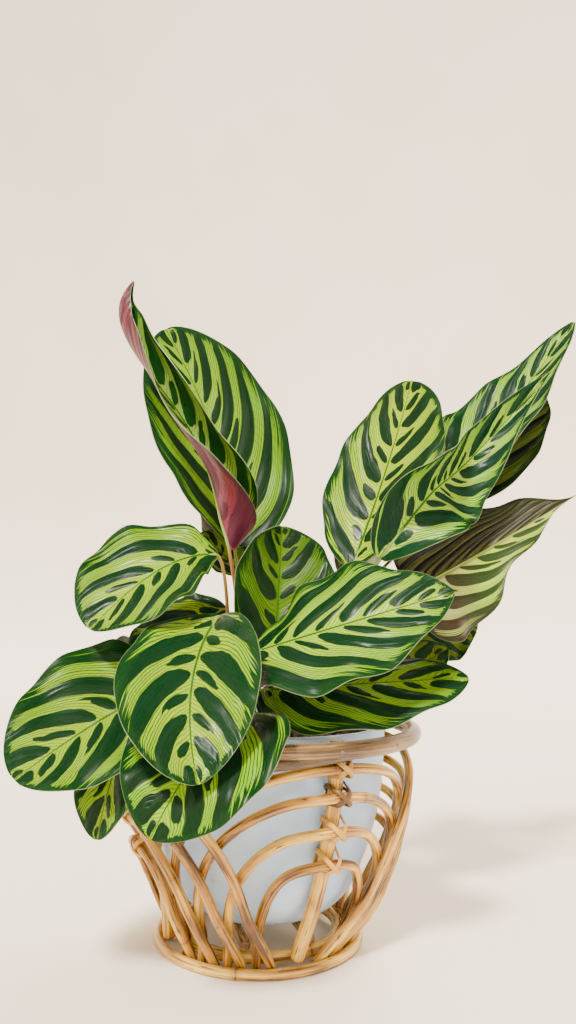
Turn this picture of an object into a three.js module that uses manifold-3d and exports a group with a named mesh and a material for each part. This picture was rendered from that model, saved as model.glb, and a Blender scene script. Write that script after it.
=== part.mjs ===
// A potted calathea standing in a rattan basket. Millimetres, +Z up.
// The basket's axis is X = Y = 0 while the pieces are made, and it stands on Z = 0.
// +X is to the right and +Y to the back. Angles round the basket are in degrees from the
// front (-Y) towards the right (+X).
import * as THREE from "three";
import { mergeVertices } from "three/addons/utils/BufferGeometryUtils.js";
import Module from "manifold-3d";

const wasm = await Module();
wasm.setup();

// ---------------------------------------------------------------- driving dimensions

const GAP = 0.3; // clearance between pieces that touch

// Basket: hoops. Radii are to the middle of the cane.
const RIM = { ring: 142.5, cane: 7.2, z: 186.3 };
const BASE_OUTER = { ring: 91.8, cane: 4.3, z: 4.1 };
const BASE_INNER = { ring: 72.4, cane: 5, z: 9.5 };

// Basket: the wall's flare, as [height, radius to the middle of the cane]. The side panels'
// arches run outside and those of the front and back panels inside, where they cross.
const WALL_OUTSIDE = [
  [0, 82.3], [8, 82.3], [13, 85.5], [22, 93], [38, 100.5], [60, 109.2], [87, 120.2], [110, 128.7],
  [129, 134.7], [150, 138.5], [175, 139.5],
];
const WALL_INSIDE = [
  [0, 82.3], [13, 81.4], [22, 82], [38, 89.8], [60, 99.8], [87, 110.7], [110, 119.7], [129, 125.7],
  [148, 130.5], [160, 135], [168, 139.5], [175, 139.5],
];
// Handmade, it bulges to the right below the rim, as [height, most that it bulges].
const SIDE_BULGE = [
  [0, 0], [13, 0], [24, 6.5], [45, 9.5], [80, 9.5], [110, 5], [135, 1.5], [150, 0],
];
const LEFT_SHARE = 0.4; // and is drawn in by this share of that on the left
const ARCH_CANE = 4.2; // cane radius of the arches
const LEG_BOTTOM = 3.2; // height of the middle of their cut ends

// Basket: posts, as [height, radius to the middle of the post], and how they lean.
const POST_LINE = [
  [11, 84.4], [60, 96.5], [92, 109], [121, 118.5], [150, 125], [192, 128.6],
];
const POST_CANE = 6.2;
const POST_FOOT = -3.5; // degrees from the middle of its panel
const POST_TOP = 3.5;
const POST_LEAN_HEIGHT = 60; // most of the lean is in the lowest stretch
const BULGE = 22; // degrees each side of a post over which its arches come out round it
const OVER_POST = 2; // clearance there
const CROSSINGS_FROM = 28; // below this height no arch is near its own post

// Basket: arches, outermost first. Heights are of the middle of the cane at the top.
const ARCH_TOPS = [171.5, 149, 121, 93.5];
const ARCH_ROUNDNESS = [2.1, 2.05, 2.2, 2.5]; // 2 is an ellipse, more is squarer
const ARCH_SECTIONS = [18, 16, 14, 12];
const FOOT_RISE = 10; // length of an arch's first section
// Half spans at the foot, and how much of that is a splay that is gone at SPLAY_HEIGHT.
const FRONT_ARCHES = {
  left: [73.5, 60, 43, 26], leftSplay: [0, 0, 0, 0],
  right: [76, 63.5, 48.5, 33], rightSplay: [0, 0, 0, 0],
};
const SIDE_ARCHES = {
  left: [81, 67.5, 49.5, 34], leftSplay: [19, 9.5, 7.5, 6],
  right: [74.5, 57.5, 40.5, 23.5], rightSplay: [12.5, 9.5, 7.5, 3.5],
};
const SPLAY_HEIGHT = 55;

const PANELS = [
  { name: "front", middle: 25, inside: true, arches: FRONT_ARCHES },
  { name: "right", middle: 115, inside: false, arches: SIDE_ARCHES },
  { name: "back", middle: 205, inside: true, arches: FRONT_ARCHES },
  { name: "left", middle: 295, inside: false, arches: SIDE_ARCHES },
];

// Basket: bindings of split cane, a loop round each crossing of an arch and its post. A strip
// of it joins them behind the post, from its foot to its head.
const BINDING = { width: 3, thickness: 0.9, clear: 0.8, foot: 92, head: 172 };

// Basket: two bars on the inner base ring that carry the pot. Their flats are up and down.
const BAR = { cane: 5, length: 138, apart: 56, turn: 14 };
const BAR_FLAT = BAR.cane * Math.cos(Math.PI / 8);
const BAR_HEIGHT = BASE_INNER.z + BASE_INNER.cane + GAP + BAR_FLAT;

// Pot: outer profile from the foot up as [radius, height above the foot].
const POT_OUTER = [
  [38, 0], [52, 2.5], [68, 11], [80, 23], [88.5, 39], [96, 58], [102, 78], [107.5, 102],
  [111, 135], [112.5, 169],
];
const POT_WALL = 4.5;
const POT_SHIFT = 3.5; // it stands a little to the right
const POT_FOOT = BAR_HEIGHT + BAR_FLAT + GAP;
const POT_FLOOR = 40; // radius of the flat of its floor inside

// Soil
const SOIL_TOP = 180;
const SOIL_CROWN = 4; // how much it is heaped in the middle
const SOIL_CLEAR = 0.5; // clearance to the pot's wall, which is faceted
const STEM_DEPTH = 12; // how deep a stalk stands in it
const HOLE_CLEAR = 0.8; // and how much wider than its foot its hole is, both six-sided

// Leaves
const BLADE = 0.8; // thickness
const STEM = { foot: 2.5, top: 1.5 }; // stalk radii at the soil and at the blade
const STALK_DROP = 1.1; // how far the stalk's middle runs below the blade's
const STALK_OUT = { across: 0.35, up: 0.55 }; // its middle, as shares of the way to the blade
const SHAPE = [0.5, 0.62]; // how sharp the outline is at the base and at the tip
const WAVES = { count: 3.2, left: 0.15, right: 0.6 }; // along each edge, and where they start
const WAVE_IN = { base: 6, tip: 5 }; // how fast they come in from the base and from the tip

// Each leaf: the foot of its stalk in the soil, points on its midrib from the blade's base
// to the tip, the way its upper face looks, its width, and in degrees how the halves rise
// from the midrib (fold) and curl towards the edge, each from the base to the tip. Wave is
// the height of the waves along the edge, twist turns the blade round its midrib.
const LEAVES = [
  { name: "leaf_upright_left", foot: [-12, 14], rib: [[-31, 9, 359], [-53, 32, 468], [-113, 45, 597]],
    face: [0.2, -1, 0.15], width: 147, fold: [20, 6], curl: [14, 4], twist: [17, 0], wave: 3,
    shape: [0.47, 0.54] },
  { name: "leaf_rolled", foot: [-16, -14],
    rib: [[-33, -44, 350], [-51, -46, 414], [-86, -41, 482], [-135, -36, 549], [-136, -25, 619]],
    face: [0.95, 0, 0.33], width: 88, fold: [31, 45, 20], foldLeft: [35, 38, 45, 65, 85],
    curl: [73, 75, 40], curlLeft: [80, 55, 30, 40, 50], twist: [68, -58, -65, -50], wave: 2.5,
    shape: [0.38, 0.7], columns: 8, rows: 14 },
  { name: "leaf_upright_right", foot: [26, 12], rib: [[85, 3, 339], [123, 33, 441], [152, 33, 542]],
    face: [-0.4, -0.9, 0.1], width: 122, fold: [18, -8], curl: [14, -3], twist: [-8, -19], wave: 2.5,
    shape: [0.5, 0.45] },
  { name: "leaf_right_front", foot: [36, -8],
    rib: [[106, -41, 345], [157, -47, 411], [183, -41, 433], [280, -25, 537]],
    face: [-0.1, -0.95, 0.3], width: 97, fold: [16, 13], foldLeft: [26, 45], curl: [15, 17],
    twist: [-16, 40, -43], wave: 4, shape: [0.48, 0.82], columns: 6 },
  { name: "leaf_right_back", foot: [38, 22], rib: [[159, 15, 438], [234, 30, 492], [325, 25, 609]],
    face: [-0.2, -0.95, 0.3], width: 83, fold: [10, 10], foldLeft: [21, -6], curl: [11, 10],
    twist: [5, -13, -35], wave: 4 },
  { name: "leaf_right_shade", foot: [30, 34], rib: [[202, 55, 418], [257, 68, 495], [305, 78, 555]],
    face: [0.1, -1, 0.1], width: 91, fold: [10, 9], curl: [10, 9], wave: 3 },
  { name: "leaf_right_folded", foot: [42, 6], rib: [[136, -32, 317], [203, -18, 352], [306, -15, 415]],
    face: [-0.2, 0.85, 0.5], width: 130, fold: [30, 30], foldLeft: [-20, 0], curl: [20, 20],
    twist: [-14, -12, 39], wave: 7, shape: [0.42, 1.15], columns: 6 },
  { name: "leaf_right_low_back", foot: [24, 44], rib: [[133, 50, 290], [190, 62, 285], [225, 61, 279]],
    face: [0.1, -0.9, 0.45], width: 95, fold: [10, 6], curl: [8, 8], wave: 3, rows: 8 },
  { name: "leaf_right_low", foot: [44, -20], rib: [[96, 22, 249], [133, 26, 239], [184, 20, 262]],
    face: [0, -0.85, 0.55], width: 74, fold: [10, 6], curl: [8, 8], wave: 3, rows: 8 },
  { name: "leaf_centre_front", foot: [10, -36], rib: [[-16, -98, 259], [60, -118, 284], [155, -130, 314]],
    face: [0, -0.82, 0.57], width: 132, fold: [3, 0], foldLeft: [-10, 24], curl: [-6, -3],
    twist: [-28, 0], wave: 5, shape: [0.5, 0.8], columns: 6 },
  { name: "leaf_centre_low", foot: [20, -46], rib: [[-3, -79, 228], [65, -98, 235], [173, -101, 243]],
    face: [0, -0.6, 0.8], width: 103, fold: [1, 2], curl: [-16, -15], twist: [-9, 4], wave: 3.5 },
  { name: "leaf_centre_upright", foot: [2, -20], rib: [[10, -45, 244], [13, -22, 324], [15, -15, 378]],
    face: [0.1, -0.95, 0.25], width: 110, fold: [17, 25], curl: [8, 8], twist: [5, 24], wave: 2.5 },
  { name: "leaf_left_upper", foot: [-26, -24], rib: [[-42, -61, 345], [-91, -80, 331], [-144, -110, 278]],
    face: [-0.2, -0.75, 0.6], width: 115, fold: [12, 9], curl: [7, 6], wave: 3.5, shape: [0.9, 0.57] },
  { name: "leaf_left", foot: [-40, -22], rib: [[-82, -94, 230], [-128, -118, 208], [-184, -158, 168]],
    face: [-0.25, -0.8, 0.5], width: 130, fold: [10, 7], foldLeft: [18, 8], curl: [10, 5],
    twist: [-4, -7], wave: 3, shape: [0.42, 0.5] },
  { name: "leaf_front", foot: [-14, -44], rib: [[-38, -96, 292], [-54, -158, 241], [-44, -202, 175]],
    face: [0, -0.85, 0.55], width: 115, fold: [14, 14], curl: [7, 7], twist: [24, -8], wave: 2.5,
    shape: [0.6, 0.6] },
  { name: "leaf_left_inner", foot: [-30, 0], rib: [[-36, -16, 298], [-82, -26, 274], [-122, -40, 247]],
    face: [0, -0.6, 0.8], width: 83, fold: [7, 4], curl: [3, 0], wave: 2.5, rows: 8 },
  { name: "leaf_left_low", foot: [-46, -34],
    rib: [[-70, -80, 212], [-98, -104, 202], [-115, -127, 170], [-123, -145, 122]],
    face: [-0.55, -0.7, 0.45], width: 74, fold: [9, 6], curl: [5, 1], wave: 2, rows: 8,
    shape: [0.95, 0.6] },
  { name: "leaf_front_low", foot: [-6, -56], rib: [[-4, -117, 214], [-43, -169, 191], [-77, -192, 136]],
    face: [0, -0.85, 0.55], width: 120, fold: [14, 6], curl: [8, 1], twist: [24, -2], wave: 3 },
  { name: "leaf_left_behind", foot: [-24, 30], rib: [[-28, 40, 332], [-48, 46, 358], [-74, 48, 374]],
    face: [0, -0.5, 0.85], width: 60, fold: [10, 4], curl: [4, 0], wave: 2, rows: 8 },
  { name: "leaf_small_right", foot: [60, 10], rib: [[98, 4, 208], [122, 2, 213], [144, -2, 207]],
    face: [0, -0.6, 0.8], width: 34, fold: [10, 4], curl: [4, 0], wave: 1, rows: 6 },
  { name: "leaf_back_tall", foot: [-8, 34], rib: [[-26, 60, 345], [-46, 88, 420], [-78, 112, 490]],
    face: [0.2, 0.9, 0.4], width: 88, fold: [14, 8], curl: [8, 4], wave: 3, rows: 8 },
  { name: "leaf_back_right", foot: [14, 46], rib: [[84, 72, 330], [128, 106, 400], [172, 140, 462]],
    face: [-0.3, 0.8, 0.5], width: 92, fold: [12, 8], curl: [8, 6], wave: 3, rows: 8 },
  { name: "leaf_back_left_low", foot: [-40, 24], rib: [[-84, 60, 246], [-132, 104, 236], [-176, 146, 196]],
    face: [-0.3, 0.7, 0.7], width: 96, fold: [10, 4], curl: [6, 4], wave: 3, rows: 8 },
  { name: "leaf_back_low", foot: [-4, 52], rib: [[-6, 92, 244], [-14, 150, 240], [-24, 200, 196]],
    face: [0, 0.6, 0.8], width: 104, fold: [10, 4], curl: [6, 4], wave: 3, rows: 8 },
  { name: "leaf_back_right_low", foot: [34, 56], rib: [[66, 84, 238], [110, 124, 236], [146, 166, 196]],
    face: [0.3, 0.7, 0.7], width: 92, fold: [10, 4], curl: [6, 4], wave: 3, rows: 8 },
  { name: "leaf_back_upper", foot: [8, 60], rib: [[14, 96, 300], [22, 146, 324], [30, 192, 308]],
    face: [0, 0.3, 0.95], width: 90, fold: [12, 4], curl: [8, 4], wave: 3, rows: 8 },
];

// ---------------------------------------------------------------- finishes

function finish(name, color, roughness) {
  return new THREE.MeshStandardMaterial({ name, color, roughness, metalness: 0 });
}
const RATTAN = finish("rattan", 0xc9a066, 0.45);
const RATTAN_RIM = finish("rattan_rim", 0xa98458, 0.5);
const RATTAN_BASE = finish("rattan_base", 0xe0c084, 0.45);
const CANE_PEEL = finish("cane_peel", 0x94673e, 0.5);
const GLAZE = finish("pot_ceramic", 0xdde2e6, 0.45);
const EARTH = finish("soil", 0x33271d, 0.95);
const LEAF = finish("leaf", 0x2c6b2f, 0.35);

// ---------------------------------------------------------------- small tools

const rad = THREE.MathUtils.degToRad;

// A point at an angle round the basket, a radius from its axis and a height.
function around(angle, radius, z) {
  return new THREE.Vector3(radius * Math.sin(rad(angle)), -radius * Math.cos(rad(angle)), z);
}

// Straight-line reading of a table of [x, value] pairs.
function readTable(table, x) {
  let i = 1;
  while (i < table.length - 1 && table[i][0] < x) i += 1;
  const [x0, y0] = table[i - 1];
  const [x1, y1] = table[i];
  return y0 + ((y1 - y0) * (x - x0)) / (x1 - x0);
}

// The value at u (0 to 1) of the smooth curve through evenly spaced values.
function through(values, u) {
  const last = values.length - 1;
  const weight = (i) => values.reduce((w, _, j) => (j === i ? w : (w * (u * last - j)) / (i - j)), 1);
  return values.reduce((sum, value, i) => sum + weight(i) * value, 0);
}

function throughPoints(points, u) {
  const axis = (k) => through(points.map((point) => point[k]), u);
  return new THREE.Vector3(axis(0), axis(1), axis(2));
}

// A regular outline for a cane, with its corners on the given radius.
function roundOutline(radius, sides) {
  const corner = (i) => {
    const turn = ((i + 0.5) / sides) * 2 * Math.PI;
    return new THREE.Vector2(radius * Math.cos(turn), radius * Math.sin(turn));
  };
  return new THREE.Shape(Array.from({ length: sides }, (_, i) => corner(i)));
}

// A cane of even thickness along a curve.
function cane(curve, radius, sides, steps) {
  return new THREE.ExtrudeGeometry(roundOutline(radius, sides), { steps, extrudePath: curve });
}

// A hoop of cane: its outline is spun about the axis, flat side down.
function hoop({ ring, cane: radius, z }, sides, segments) {
  const corner = (i) => {
    const turn = ((i + 0.5) / sides) * 2 * Math.PI;
    return new THREE.Vector2(ring + radius * Math.cos(turn), z + radius * Math.sin(turn));
  };
  const outline = Array.from({ length: sides + 1 }, (_, i) => corner(i % sides));
  return new THREE.LatheGeometry(outline, segments).rotateX(Math.PI / 2);
}

// The geometry as a solid for joining and cutting, faces outward.
function solid(geometry) {
  const plain = geometry.clone();
  plain.deleteAttribute("normal");
  plain.deleteAttribute("uv");
  const merged = mergeVertices(plain, 1e-3);
  const triVerts = Uint32Array.from(merged.index.array);
  const at = (i) => new THREE.Vector3().fromBufferAttribute(merged.attributes.position, triVerts[i]);
  let volume = 0;
  for (let i = 0; i < triVerts.length; i += 3) volume += at(i).dot(at(i + 1).cross(at(i + 2)));
  if (volume < 0) triVerts.reverse();
  const vertProperties = Float32Array.from(merged.attributes.position.array);
  return new wasm.Manifold(new wasm.Mesh({ numProp: 3, vertProperties, triVerts }));
}

function piece(name, body, material) {
  const { vertProperties, triVerts } = body.getMesh();
  const geometry = new THREE.BufferGeometry();
  geometry.setAttribute("position", new THREE.BufferAttribute(vertProperties, 3));
  geometry.setIndex(new THREE.BufferAttribute(triVerts, 1));
  const mesh = new THREE.Mesh(geometry, material);
  mesh.name = name;
  return mesh;
}

// ---------------------------------------------------------------- basket

const smooth = THREE.MathUtils.smoothstep;

// How far the wall stands out sideways from round, at an angle and a height.
function bulge(angle, z) {
  const sideways = Math.sin(rad(angle)) ** 3;
  return readTable(SIDE_BULGE, z) * sideways * (sideways < 0 ? LEFT_SHARE : 1);
}

function postAngle(panel, z) {
  return panel.middle + POST_FOOT + (POST_TOP - POST_FOOT) * smooth(z, 0, POST_LEAN_HEIGHT);
}

function postRadius(panel, z) {
  return readTable(POST_LINE, z) + bulge(postAngle(panel, z), z);
}

function onPost(panel, z) {
  return around(postAngle(panel, z), postRadius(panel, z), z);
}

// How far round from its post an arch's leg stands at a height, for one side of the arch.
function legAngle(side, k, panel, z) {
  const splay = panel.arches[`${side}Splay`][k];
  const body = panel.arches[side][k] - splay;
  const level = Math.min(z / ARCH_TOPS[k], 1);
  const round = ARCH_ROUNDNESS[k];
  const arch = (1 - level ** round) ** (1 / round);
  return body * arch + splay * Math.max(1 - z / SPLAY_HEIGHT, 0) ** 1.3;
}

// The middle of an arch's cane on the wall: out over its own post, and elsewhere in the
// layer that lets the arches of neighbouring panels cross.
function onWall(panel, angle, z) {
  const layer = readTable(panel.inside ? WALL_INSIDE : WALL_OUTSIDE, z) + bulge(angle, z);
  const away = Math.min(Math.abs(angle - postAngle(panel, z)) / BULGE, 1);
  const near = z > CROSSINGS_FROM ? 1 - smooth(away, 0.3, 1) : 0;
  const overPost = postRadius(panel, z) + POST_CANE + ARCH_CANE + OVER_POST;
  return around(angle, layer + (overPost - layer) * near, z);
}

class ArchCurve extends THREE.Curve {
  constructor(panel, k) {
    super();
    this.panel = panel;
    this.k = k;
  }

  // Sections follow the parameter, short at the feet and at the top.
  getUtoTmapping(u) {
    return u;
  }

  getPoint(t, target = new THREE.Vector3()) {
    const { panel, k } = this;
    const rise = ARCH_TOPS[k] - LEG_BOTTOM;
    const power = 2 / ARCH_ROUNDNESS[k];
    const firstTurn = Math.asin((FOOT_RISE / rise) ** (1 / power)) / (Math.PI / 2);
    const ease = Math.log(firstTurn) / Math.log(2 / ARCH_SECTIONS[k]);
    const along = 1 - Math.abs(2 * t - 1);
    const z = LEG_BOTTOM + rise * Math.sin((Math.PI / 2) * along ** ease) ** power;
    const leg = t < 0.5 ? -legAngle("left", k, panel, z) : legAngle("right", k, panel, z);
    return target.copy(onWall(panel, panel.middle + leg, z));
  }
}

// Where an arch passes over the post of its panel, and which way it runs there.
function archOverPost(panel, k) {
  const points = new ArchCurve(panel, k).getSpacedPoints(ARCH_SECTIONS[k]);
  const side = around(panel.middle + POST_TOP + 90, 1, 0);
  const i = points.findIndex((p, j) => j > ARCH_SECTIONS[k] / 2 && p.dot(side) > 0);
  const [before, after] = [points[i - 1].dot(side), points[i].dot(side)];
  return {
    at: points[i - 1].clone().lerp(points[i], before / (before - after)),
    direction: points[i].clone().sub(points[i - 1]).normalize(),
  };
}

function makeArch(panel, k) {
  const body = solid(cane(new ArchCurve(panel, k), ARCH_CANE, 6, ARCH_SECTIONS[k]));
  return piece(`arch_${panel.name}_${k + 1}`, body, RATTAN);
}

function makePost(panel) {
  const points = POST_LINE.map(([z]) => onPost(panel, z));
  const curve = new THREE.CatmullRomCurve3(points);
  return piece(`post_${panel.name}`, solid(cane(curve, POST_CANE, 8, 9)), RATTAN);
}

function makeHoops() {
  return [
    piece("rim", solid(hoop(RIM, 6, 36)), RATTAN_RIM),
    piece("base_ring_outer", solid(hoop(BASE_OUTER, 8, 28)), RATTAN_BASE),
    piece("base_ring_inner", solid(hoop(BASE_INNER, 6, 24)), RATTAN_BASE),
  ];
}

function makeBar(side) {
  const bar = new THREE.CylinderGeometry(BAR.cane, BAR.cane, BAR.length, 8, 1);
  bar.rotateY(Math.PI / 8).translate((side * BAR.apart) / 2, 0, 0);
  bar.rotateZ(rad(BAR.turn)).translate(0, 0, BAR_HEIGHT);
  const name = side < 0 ? "base_bar_left" : "base_bar_right";
  return piece(name, solid(bar), RATTAN);
}

// One loop of a binding, slanting one way round a post and the arch that crosses it.
function bindingLoop(panel, k, slant) {
  const { at: arch, direction } = archOverPost(panel, k);
  const post = onPost(panel, arch.z);
  const up = onPost(panel, arch.z + 5).sub(post).normalize();
  post.addScaledVector(up, arch.clone().sub(post).dot(up));
  const out = arch.clone().sub(post);
  const reach = out.length();
  out.normalize();
  const along = up.clone().addScaledVector(direction, slant).normalize();
  along.addScaledVector(out, -along.dot(out)).normalize();
  const stretch = 1 / Math.sin(along.angleTo(up));
  const across = out.clone().cross(along);
  // Half a hexagon round each cane, stretched as the loop crosses it on the slant.
  const half = (radius, centre, turns) => turns.map((turn) => new THREE.Vector2(
    centre + (radius * Math.cos(rad(turn))) / Math.cos(rad(30)),
    ((radius * stretch + BINDING.width / 2) * Math.sin(rad(turn))) / Math.cos(rad(30)),
  ));
  const outline = (extra) => [
    ...half(POST_CANE + extra, 0, [90, 150, 210, 270]),
    ...half(ARCH_CANE + extra, reach, [-90, -30, 30, 90]),
  ];
  const loop = new THREE.Shape(outline(BINDING.clear + BINDING.thickness));
  loop.holes.push(new THREE.Path(outline(BINDING.clear)));
  const band = new THREE.ExtrudeGeometry(loop, { depth: BINDING.width, bevelEnabled: false });
  band.translate(0, 0, -BINDING.width / 2);
  band.applyMatrix4(new THREE.Matrix4().makeBasis(out, along, across).setPosition(post));
  return solid(band);
}

// The strip that runs down the back of a post, joined to the inside of each loop.
function bindingStrip(panel) {
  const { width, thickness, clear, foot, head } = BINDING;
  const depth = POST_CANE + clear + 1.3 * thickness;
  const bends = POST_LINE.map(([z]) => z).filter((z) => z > foot && z < head);
  const behind = (z) => around(postAngle(panel, z), postRadius(panel, z) - depth, z);
  const points = [foot, ...bends, head].map(behind);
  const corners = [[-1, -1], [1, -1], [1, 1], [-1, 1]];
  const strip = new THREE.Shape(
    corners.map(([x, y]) => new THREE.Vector2((x * thickness) / 2, (y * width) / 2)),
  );
  const path = new THREE.CurvePath();
  points.slice(1).forEach((point, i) => path.add(new THREE.LineCurve3(points[i], point)));
  return solid(new THREE.ExtrudeGeometry(strip, { steps: 6, extrudePath: path }));
}

function makeBinding(panel) {
  let binding = bindingStrip(panel);
  for (let k = 0; k < ARCH_TOPS.length; k += 1) {
    binding = binding.add(bindingLoop(panel, k, k % 2 ? -1 : 1));
  }
  return piece(`binding_${panel.name}`, binding, CANE_PEEL);
}

// ---------------------------------------------------------------- pot and soil

// A profile of [radius, height] spun about the pot's own axis.
function spun(profile) {
  const points = profile.map(([r, z]) => new THREE.Vector2(r, z));
  return new THREE.LatheGeometry(points, 20).rotateX(Math.PI / 2).translate(POT_SHIFT, 0, 0);
}

// The pot's outer wall, moved in by an inset, from its heel to its lip.
function potWall(inset) {
  return POT_OUTER.slice(1).map(([r, height]) => [r - inset, POT_FOOT + height]);
}

function makePot() {
  const foot = [[0, POT_FOOT], [POT_OUTER[0][0], POT_FOOT]];
  const floor = POT_FOOT + POT_WALL;
  const inner = potWall(POT_WALL).filter(([, z]) => z > floor + 1).reverse();
  const profile = [...foot, ...potWall(0), ...inner, [POT_FLOOR, floor], [0, floor]];
  return piece("pot", solid(spun(profile)), GLAZE);
}

// The soil fills the pot, and its surface is a low cone.
function makeSoil() {
  const bottom = POT_FOOT + POT_WALL + GAP;
  const inset = POT_WALL + SOIL_CLEAR;
  const wall = potWall(inset).filter(([, z], i) => i % 2 === 1 && z > bottom + 1 && z < SOIL_TOP - 1);
  const edge = POT_OUTER.at(-2)[0] - inset;
  const top = [[edge, SOIL_TOP], [edge / 2, SOIL_TOP + 0.8 * SOIL_CROWN], [0, SOIL_TOP + SOIL_CROWN]];
  let soil = solid(spun([[0, bottom], [POT_FLOOR - SOIL_CLEAR, bottom], ...wall, ...top]));
  const depth = 2 * STEM_DEPTH;
  for (const { foot: [x, y] } of LEAVES) {
    const hole = new THREE.CylinderGeometry(STEM.foot + HOLE_CLEAR, STEM.foot + HOLE_CLEAR, depth, 6);
    hole.rotateX(Math.PI / 2).translate(x, y, SOIL_TOP - STEM_DEPTH + depth / 2);
    soil = soil.subtract(solid(hole));
  }
  return piece("soil", soil, EARTH);
}

// ---------------------------------------------------------------- leaves

// One half of the blade's cross section at t (0 midrib, 1 edge): an arc that leaves the
// midrib at the fold angle and turns by the curl angle. Gives [across, up].
function halfSection(t, fold, curl) {
  const start = rad(fold);
  const turn = rad(curl) || 1e-6;
  return [
    (Math.sin(start + turn * t) - Math.sin(start)) / turn,
    (Math.cos(start) - Math.cos(start + turn * t)) / turn,
  ];
}

function halfWidth(leaf, u) {
  const [base, tip] = leaf.shape ?? SHAPE;
  const widest = base / (base + tip);
  const shape = (x) => x ** base * (1 - x) ** tip;
  return ((leaf.width / 2) * shape(u)) / shape(widest);
}

// A point of the blade's middle surface: u from base to tip, v from -1 (left) to 1 (right).
function bladePoint(leaf, u, v) {
  const rib = throughPoints(leaf.rib, u);
  const along = throughPoints(leaf.rib, u + 0.01).sub(throughPoints(leaf.rib, u - 0.01)).normalize();
  const side = along.clone().cross(new THREE.Vector3(...leaf.face)).normalize();
  side.applyAxisAngle(along, rad(through(leaf.twist ?? [0, 0], u)));
  const up = side.clone().cross(along);
  const t = Math.abs(v);
  const sign = v < 0 ? -1 : 1;
  const fold = through((v < 0 && leaf.foldLeft) || leaf.fold, u);
  const curl = through((v < 0 && leaf.curlLeft) || leaf.curl, u);
  const [across, rise] = halfSection(t, fold, curl);
  const turns = WAVES.count * u + (v < 0 ? WAVES.left : WAVES.right);
  const strength = Math.min(1, WAVE_IN.base * u, WAVE_IN.tip * (1 - u));
  const wave = leaf.wave * t * t * Math.sin(2 * Math.PI * turns) * strength;
  const half = halfWidth(leaf, u);
  return rib.addScaledVector(side, sign * half * across).addScaledVector(up, half * rise + wave);
}

// The blade: a flat grid bent to the leaf's surface, with a second one below it and a rim.
function bladeGeometry(leaf) {
  const rows = leaf.rows ?? 10;
  const columns = leaf.columns ?? 4;
  const grid = new THREE.PlaneGeometry(2, 1, columns, rows);
  const points = grid.attributes.position;
  for (let i = 0; i < points.count; i += 1) {
    const u = 0.5 - 0.494 * Math.cos(Math.PI * (points.getY(i) + 0.5));
    const p = bladePoint(leaf, u, points.getX(i));
    points.setXYZ(i, p.x, p.y, p.z);
  }
  grid.computeVertexNormals();
  const normals = grid.attributes.normal;
  const corners = [];
  for (const offset of [BLADE / 2, -BLADE / 2]) {
    for (let i = 0; i < points.count; i += 1) {
      corners.push(points.getX(i) + normals.getX(i) * offset);
      corners.push(points.getY(i) + normals.getY(i) * offset);
      corners.push(points.getZ(i) + normals.getZ(i) * offset);
    }
  }
  const top = Array.from(grid.index.array);
  const below = points.count;
  const faces = [...top];
  for (let i = 0; i < top.length; i += 3) {
    faces.push(top[i] + below, top[i + 2] + below, top[i + 1] + below);
  }
  const width = columns + 1;
  const edge = [];
  for (let i = 0; i < columns; i += 1) edge.push(i);
  for (let i = 0; i < rows; i += 1) edge.push(i * width + columns);
  for (let i = columns; i > 0; i -= 1) edge.push(rows * width + i);
  for (let i = rows; i > 0; i -= 1) edge.push(i * width);
  edge.forEach((a, i) => {
    const b = edge[(i + 1) % edge.length];
    faces.push(a, b, b + below, a, b + below, a + below);
  });
  const geometry = new THREE.BufferGeometry();
  geometry.setAttribute("position", new THREE.Float32BufferAttribute(corners, 3));
  geometry.setIndex(faces);
  return geometry;
}

// The stalk: upright out of the soil, out to the blade, and a short way under its midrib.
function stalkCurve(leaf) {
  const foot = new THREE.Vector3(leaf.foot[0], leaf.foot[1], SOIL_TOP - STEM_DEPTH + GAP);
  const up = (rise) => foot.clone().setZ(foot.z + rise);
  const base = new THREE.Vector3(...leaf.rib[0]);
  const middle = foot.clone().lerp(base, STALK_OUT.across);
  middle.setZ(foot.z + STALK_OUT.up * (base.z - foot.z));
  const under = (u) => {
    const side = bladePoint(leaf, u, 0.01).sub(bladePoint(leaf, u, -0.01));
    const along = bladePoint(leaf, u + 0.01, 0).sub(bladePoint(leaf, u, 0));
    return bladePoint(leaf, u, 0).addScaledVector(side.cross(along).normalize(), -STALK_DROP);
  };
  const curve = new THREE.CatmullRomCurve3([
    foot, up(STEM_DEPTH - 2), up(STEM_DEPTH + 7), middle, under(0.01), under(0.12),
  ]);
  // One section to each stretch in the soil and two to each one above it.
  curve.getUtoTmapping = (u) => readTable([[0, 0], [0.25, 0.4], [1, 1]], u);
  return curve;
}

function stalkGeometry(leaf) {
  const curve = stalkCurve(leaf);
  const steps = 8;
  const stalk = new THREE.CylinderGeometry(1, 1, 1, 5, steps);
  const frames = curve.computeFrenetFrames(steps);
  const points = stalk.attributes.position;
  for (let i = 0; i < points.count; i += 1) {
    const step = Math.round((0.5 - points.getY(i)) * steps);
    const radius = STEM.foot + ((STEM.top - STEM.foot) * step) / steps;
    const p = curve.getPointAt(step / steps);
    p.addScaledVector(frames.normals[step], radius * points.getX(i));
    p.addScaledVector(frames.binormals[step], radius * points.getZ(i));
    points.setXYZ(i, p.x, p.y, p.z);
  }
  return stalk;
}

function makeLeaf(leaf) {
  return piece(leaf.name, solid(bladeGeometry(leaf)).add(solid(stalkGeometry(leaf))), LEAF);
}

// ---------------------------------------------------------------- the whole

const model = new THREE.Group();
model.add(...makeHoops(), makeBar(-1), makeBar(1));
for (const panel of PANELS) {
  model.add(makePost(panel));
  for (let k = 0; k < ARCH_TOPS.length; k += 1) model.add(makeArch(panel, k));
  model.add(makeBinding(panel));
}
model.add(makePot(), makeSoil());
for (const leaf of LEAVES) model.add(makeLeaf(leaf));

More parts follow.
